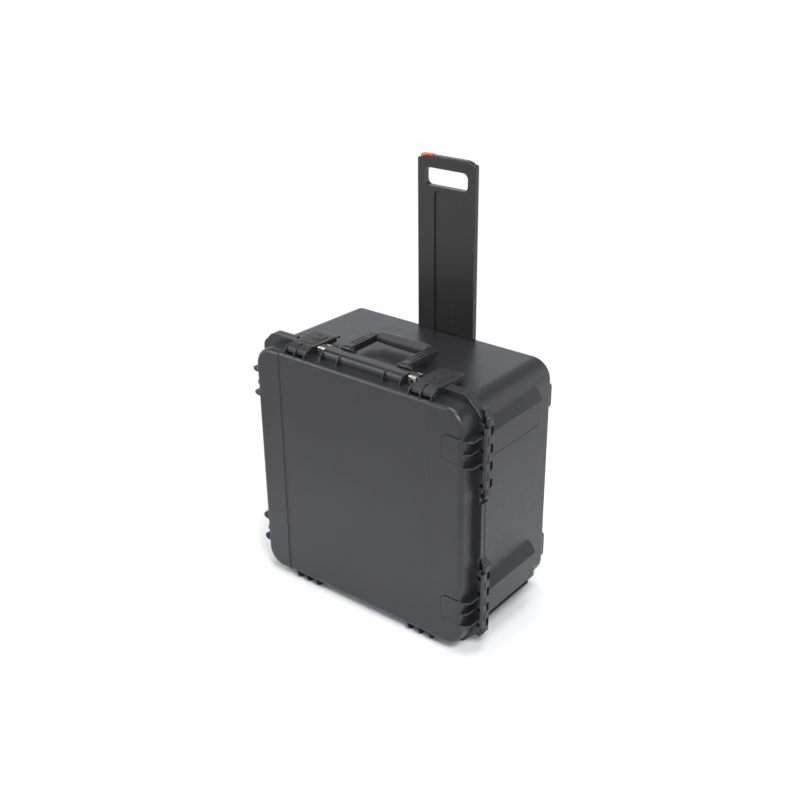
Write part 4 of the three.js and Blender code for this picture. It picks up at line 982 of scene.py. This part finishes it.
def make_carry_handle():
    core = rod("x", HANDLE_CORE_R, -HANDLE_ARM_X, HANDLE_ARM_X, (GRIP_Y, HANDLE_PIVOT_Z))
    bore = rod("x", HANDLE_PIN_R + PLAY, -120, 120, (HANDLE_PIVOT_Y, HANDLE_PIVOT_Z))
    bars = combined([handle_arm(-1), handle_arm(1), core], [bore])
    piece("carry_handle_bars", bars, HANDLE, "carry_handle", "handle", "carry_handle_frame")
    end = HANDLE_ARM_X - HANDLE_ARM_HALF - GAP
    profile = [(-end, 0), (-end, GRIP_R - 2.4), (-end + 0.8, GRIP_R - 0.9), (-end + 2.6, GRIP_R)]
    steps = 28
    for step in range(steps + 1):
        place = 2 * step / steps - 1
        profile.append((place * (end - 5), GRIP_R + 1.5 * math.cos(place * QUARTER)))
    profile += [(end - 2.6, GRIP_R), (end - 0.8, GRIP_R - 0.9), (end, GRIP_R - 2.4), (end, 0)]
    grip = turned("x", profile, (0, 0), 48)
    moved(grip, Matrix.Translation((0, GRIP_Y, HANDLE_PIVOT_Z)) @ Matrix.Diagonal((1, 1.1, 0.92, 1)))
    bore = rod("x", HANDLE_CORE_R + PLAY, -end - 5, end + 5, (GRIP_Y, HANDLE_PIVOT_Z))
    piece("carry_handle_rubber", combined([grip], [bore]), GRIP, "carry_handle", "grip", "carry_handle_grip")


# ------------------------------------------------------------------ latches, drawn for the top side at x = 0
def latch_plate(pivot):
    top = LATCH_TOP
    under = LATCH_TOP - LATCH_PLATE
    nose = Outline(pivot - 6, LATCH_PIVOT_R - 3).curve((pivot - 6, LATCH_PIVOT_R + 8), (pivot + 4, top - 3))
    nose.curve((pivot + 12, top), (pivot + 20, top)).line((pivot + 20, under), (pivot + 9, under))
    nose.line((pivot + 6, LATCH_PIVOT_R + 1), (pivot + 4, LATCH_PIVOT_R - 5), (pivot - 4, LATCH_PIVOT_R - 5))
    rear = Outline(pivot + 20, under).line((pivot + 20, top), (52, top - 1))
    rear.curve((79, top - 3), (79, TAB_LOW), 14).line((76, TAB_LOW)).curve((75, under - 3), (52, under - 1), 14)
    plan = Outline(-LATCH_HALF, pivot).line((LATCH_HALF, pivot), (LATCH_HALF, TAB_START), (TAB_HALF, TAB_END))
    plan.line((-TAB_HALF, TAB_END), (-LATCH_HALF, TAB_START))
    rear = combined(
        [push(rear, "x", -LATCH_HALF, LATCH_HALF, 1.0, 3)], within=[push(plan, "z", TAB_LOW - 5, top + 5)]
    )
    parts = [
        push(nose, "x", -NOSE_HALF, NOSE_HALF, 1.0, 3),
        rear,
        block((-24, 24), (FLANGE_DEPTH + 1, FLANGE_DEPTH + 4), (300.5, under + 1), 0.5),
    ]
    for side in (-1, 1):
        x = sorted((side * (LATCH_HALF - 3), side * LATCH_HALF))
        parts.append(block(x, (18, 57), (under - 9, under + 2), 0.9))
    cuts = [
        block((-EAR_GAP, EAR_GAP), (pivot - 20, pivot + 19), (280, 320)),
        rod("x", LATCH_PIN_R + PLAY, -40, 40, (pivot, LATCH_PIVOT_R), steps=20),
        block(
            (-TRIGGER_HALF - GAP, TRIGGER_HALF + GAP), (TRIGGER_PIVOT_Y - 2.8, 44), (under - 0.6, top + 5)
        ),
        rod("x", 1.5, -TRIGGER_HALF - 3, TRIGGER_HALF + 3, (TRIGGER_PIVOT_Y, LATCH_TOP - 2), steps=16),
    ]
    return combined(parts, cuts)


def trigger_plate():
    top = LATCH_TOP + 0.6
    plate = block(
        (-TRIGGER_HALF, TRIGGER_HALF), (TRIGGER_PIVOT_Y - 1.8, 43.4), (LATCH_TOP - LATCH_PLATE + 0.2, top), 0.6
    )
    boss = push(rounded_rectangle((-9, 9), (14, 30), 2), "z", top - 1, top + 1.2, 0.5)
    dish = push(rounded_rectangle((-6, 6), (34, 41), 3), "z", top - 0.8, top + 3)
    axle = rod("x", 1.2, -TRIGGER_HALF - 2.4, TRIGGER_HALF + 2.4, (TRIGGER_PIVOT_Y, LATCH_TOP - 2), 0.2, 16)
    return combined([plate, boss, axle], [dish])


def make_latches():
    for name, side, centre, pivot in LATCHES:
        place = Matrix.Translation((centre, 0, 0))
        body = on_side(moved(latch_plate(pivot), place), side)
        piece(f"latch_{name}_body", body, LATCH, f"latch_{name}", "latch", f"latch_{name}")
        plate = on_side(moved(trigger_plate(), place), side)
        piece(f"trigger_{name}_plate", plate, LATCH, f"trigger_{name}", "latch", f"latch_trigger_{name}")
        carried(f"latch_pin_{name}", STEEL, 0.3)


# ------------------------------------------------------------------ small metal pieces
def make_loops():
    inner = FLANGE_DEPTH + PLAY
    outer = inner + LOOP_THICK
    top = CENTRE_Z + FLANGE_HALF
    for body in ("lid", "base"):
        for side, name in ((-1, "left"), (1, "right")):
            x = side * LOOP_X
            wide = (x - LOOP_HALVES[body], x + LOOP_HALVES[body])
            if body == "base":
                shape = Outline(inner, top - LOOP_LEG).line((outer, top - LOOP_LEG), (outer, top), (inner, top))
            else:
                fold = top + PLAY + LOOP_THICK
                shape = Outline(-outer, top - LOOP_LEG).line((-outer, fold - 2))
                shape.curve((-outer, fold), (2 - outer, fold), 6)
                shape.line((LOOP_CAP - outer, fold), (LOOP_CAP - outer, top + PLAY))
                shape.line((-inner, top + PLAY), (-inner, top - LOOP_LEG))
            bent = push(shape, "x", *wide, 0.45)
            hole = rod("y", LOOP_HOLE, -30, 30, (x, CENTRE_Z + LOOP_HOLE_R), steps=32)
            node = f"padlock_loop_{body}_{name}"
            piece(f"{node}_plate", combined([bent], [hole]), PLATED, body, "plated_steel", node)


# ------------------------------------------------------------------ wheels and valve
def make_wheels():
    r, w = WHEEL_R, WHEEL_HALF
    for side, name in ((-1, "left"), (1, "right")):
        profile = [(-w, AXLE_R + PLAY), (-w, 9.4), (-w + 0.6, 10), (-w + 3, 10), (-w + 3, r - 10)]
        profile += [(-w + 0.6, r - 9), (-w, r - 8.4), (-w, r - 4)]
        for step in range(7):
            angle = step / 6 * QUARTER
            profile.append((-w + 4 - 4 * math.cos(angle), r - 4 + 4 * math.sin(angle)))
        for groove in (-4, 0):
            profile += [(groove - 0.8, r), (groove - 0.5, r - 1.2), (groove + 0.5, r - 1.2), (groove + 0.8, r)]
        mirrored = [(-along, radius) for along, radius in reversed(profile)]
        profile = profile[:-2] + mirrored[2:]
        wheel = turned("x", profile, (0, 0), 64)
        cuts = []
        for i in range(6):
            hole = rod("x", 3.1, -20, 20, (15.8, 0), steps=20)
            cuts.append(moved(hole, Matrix.Rotation(i * math.pi / 3, 4, "X")))
        wheel = combined([wheel], cuts)
        for face in wheel.faces:
            middle = face.calc_center_median()
            face.material_index = 0 if math.hypot(middle.y, middle.z) > r - 10.2 else 1
        moved(wheel, Matrix.Translation((side * WHEEL_X, WHEEL_Y, WHEEL_R)))
        piece(f"wheel_{name}_roller", wheel, (TYRE, HANDLE), f"wheel_{name}", "tyre", f"wheel_{name}")
        carried(f"wheel_axle_{name}", STEEL)


def make_valve():
    wall = BASE_HALF - (BASE_HALF - BASE_REAR_HALF) * VALVE_Y / BASE_REAR
    knob = turned("x", [
        (-wall - 7, 0), (-wall - 7, 5), (-wall - 6.2, 6), (-wall - 7, 7), (-wall - 7, VALVE_R - 1.2),
        (-wall - 5.8, VALVE_R), (-wall - 0.6, VALVE_R), (-wall - 0.6, 0),
    ], (0, 0), 72)
    neck = rod("x", 5, -wall - 1, -wall + 7, (0, 0), 0.6)
    flutes = []
    for i in range(18):
        flute = rod("x", 1.1, -wall - 8, -wall - 2.4, (VALVE_R + 0.2, 0), steps=12)
        flutes.append(moved(flute, Matrix.Rotation(i * math.pi / 9, 4, "X")))
    valve = combined([knob, neck], flutes)
    moved(valve, Matrix.Translation((0, VALVE_Y, VALVE_Z)))
    piece("pressure_valve_knob", valve, LATCH, "base", "latch", "pressure_valve")


# ------------------------------------------------------------------ foam
def softened(bm, voxel, passes):
    """Rebuilds a body with even small faces and rounds its edges, as cut foam has them."""
    obj = scratch(bm)
    remesh = obj.modifiers.new("remesh", "REMESH")
    remesh.mode = "VOXEL"
    remesh.voxel_size = voxel
    smooth = obj.modifiers.new("smooth", "SMOOTH")
    smooth.iterations = passes
    return settled(obj)


def pocket(z, x, depth, corner):
    return push(rounded_rectangle(z, x, corner), "y", 0, depth)


def make_base_foam():
    side = BASE_REAR_HALF - WALL - 3
    body = loft([(side, 40, 4), (side - 2, 40, 264)])
    cuts = both_sides(lambda: wheel_well(WELL_WALL + 4))
    cuts += [
        pocket((212, 432), (-120, 120), 170, 30),
        pocket((470, 560), (-210, 0), 110, 16),
        pocket((470, 560), (40, 210), 70, 16),
    ]
    cuts += [pocket((70, 170), (-200 + 106 * i, -114 + 106 * i), 90, 10) for i in range(4)]
    cuts += [push(rounded_rectangle((290, 354), (-152, 152), 24), "y", 0, 60)]
    foam = softened(combined([body], cuts), 3.6, 6)
    for vertex in foam.verts:
        vertex.co += vertex.normal * 0.5 * noise.noise(vertex.co * 0.02)
    piece("base_foam_block", foam, BASE_FOAM, "base", "foam", "base_foam")


def make_lid_foam():
    """A pad with rows of rounded peaks on the side that presses on the contents."""
    side, pitch, height = LID_HALF - WALL - 3, 36, 17
    foam = softened(loft([(side - 11, 34, -50.5), (side, 40, -38), (side, 40, -1.6)]), 3.6, 3)
    for vertex in foam.verts:
        x, y, z = vertex.co.x, vertex.co.y, vertex.co.z - CENTRE_Z
        rim = min(1, max(0, (side - 8 - max(abs(x), abs(z))) / 14))
        if y > -5 and rim > 0:
            wave = math.cos(2 * math.pi * x / pitch) * math.cos(2 * math.pi * z / pitch)
            vertex.co.y -= rim * height * (0.5 - 0.5 * wave) ** 0.8
    piece("lid_foam_peaks", foam, LID_FOAM, "lid", "foam", "lid_foam")


make_lid()
make_base()
make_pull_handle()
make_channel_cover()
make_carry_handle()
make_latches()
make_loops()
make_wheels()
make_valve()
make_base_foam()
make_lid_foam()
carried("gasket", SEAL, 0.6)
for end in ("lower", "upper"):
    carried(f"hinge_pin_{end}", STEEL, 0.4)
for end in ("left", "right"):
    carried(f"handle_pin_{end}", STEEL, 0.4)

# ------------------------------------------------------------------ floor, light and camera
scene = bpy.context.scene


def make_floor():
    """A matt white floor that turns to an even, bright white away from the case."""
    mesh = bpy.data.meshes.new("floor")
    reach = 30
    mesh.from_pydata([(-reach, -reach, 0), (reach, -reach, 0), (reach, reach, 0), (-reach, reach, 0)], [], [(0, 1, 2, 3)])
    material, nodes, link, surface = shader("floor_white")
    where = nodes.new("ShaderNodeTexCoord").outputs["Object"]
    cloud = noise_node(nodes, link, where, 1.5)
    link(mixed(nodes, link, cloud, (0.90, 0.90, 0.90), (0.93, 0.93, 0.93)), surface.inputs["Base Color"])
    surface.inputs["Roughness"].default_value = 0.9
    surface.inputs["Specular IOR Level"].default_value = 0.1
    distance = nodes.new("ShaderNodeVectorMath")
    distance.operation = "LENGTH"
    link(where, distance.inputs[0])
    far = ranged(nodes, link, distance.outputs["Value"], 0, 1, 0.55, 1.2)
    glow = nodes.new("ShaderNodeEmission")
    glow.inputs["Color"].default_value = (1, 1, 1, 1)
    glow.inputs["Strength"].default_value = 1.0
    blend = nodes.new("ShaderNodeMixShader")
    link(far, blend.inputs[0])
    link(surface.outputs["BSDF"], blend.inputs[1])
    link(glow.outputs["Emission"], blend.inputs[2])
    link(blend.outputs["Shader"], nodes["Material Output"].inputs["Surface"])
    mesh.materials.append(material)
    floor = bpy.data.objects.new("floor", mesh)
    scene.collection.objects.link(floor)


def make_world():
    """A white surround up to a low height and a darker ceiling above it."""
    world = bpy.data.worlds.new("studio")
    scene.world = world
    world.use_nodes = True
    nodes = world.node_tree.nodes
    link = world.node_tree.links.new
    direction = nodes.new("ShaderNodeTexCoord").outputs["Generated"]
    split = nodes.new("ShaderNodeSeparateXYZ")
    link(direction, split.inputs["Vector"])
    ramp = nodes.new("ShaderNodeValToRGB")
    stops = ramp.color_ramp.elements
    stops[0].position = 0.44
    stops[0].color = (1.30, 1.31, 1.36, 1)
    stops[1].position = 0.54
    stops[1].color = (0.04, 0.04, 0.05, 1)
    link(split.outputs["Z"], ramp.inputs["Fac"])
    camera_ray = nodes.new("ShaderNodeLightPath").outputs["Is Camera Ray"]
    seen = mixed(nodes, link, camera_ray, ramp.outputs["Color"], (1.0, 1.0, 1.0))
    link(seen, nodes["Background"].inputs["Color"])
    nodes["Background"].inputs["Strength"].default_value = 1.0


def softbox(name, place, target, size, power, colour=(1, 1, 1)):
    light = bpy.data.lights.new(name, "AREA")
    light.shape = "SQUARE"
    light.size = size
    light.energy = power
    light.color = colour
    lamp = bpy.data.objects.new(name, light)
    lamp.location = place
    lamp.rotation_euler = (Vector(target) - Vector(place)).to_track_quat("-Z", "Y").to_euler()
    scene.collection.objects.link(lamp)


def make_camera():
    right = Vector((0.78353, 0.62126, -0.01103))
    up = Vector((-0.26178, 0.34615, 0.90091))
    back = right.cross(up)
    data = bpy.data.cameras.new("camera")
    data.sensor_width = 36
    data.lens = 50.94
    camera = bpy.data.objects.new("camera", data)
    turn = Matrix((right, up, back)).transposed().to_4x4()
    camera.matrix_world = Matrix.Translation((1.4516, -1.8257, 1.6048)) @ turn
    scene.collection.objects.link(camera)
    scene.camera = camera


make_floor()
make_world()
softbox("key", (1.75, -1.37, 2.5), (0, -0.12, 0.4), 0.9, 70, (0.96, 0.98, 1.0))
softbox("fill_left", (-2.2, -1.72, 2.6), (0, 0, 0.3), 1.6, 42)
softbox("overhead", (0.0, 0.28, 3.6), (0, 0, 0.3), 2.2, 90)
make_camera()
scene.view_settings.view_transform = "Standard"
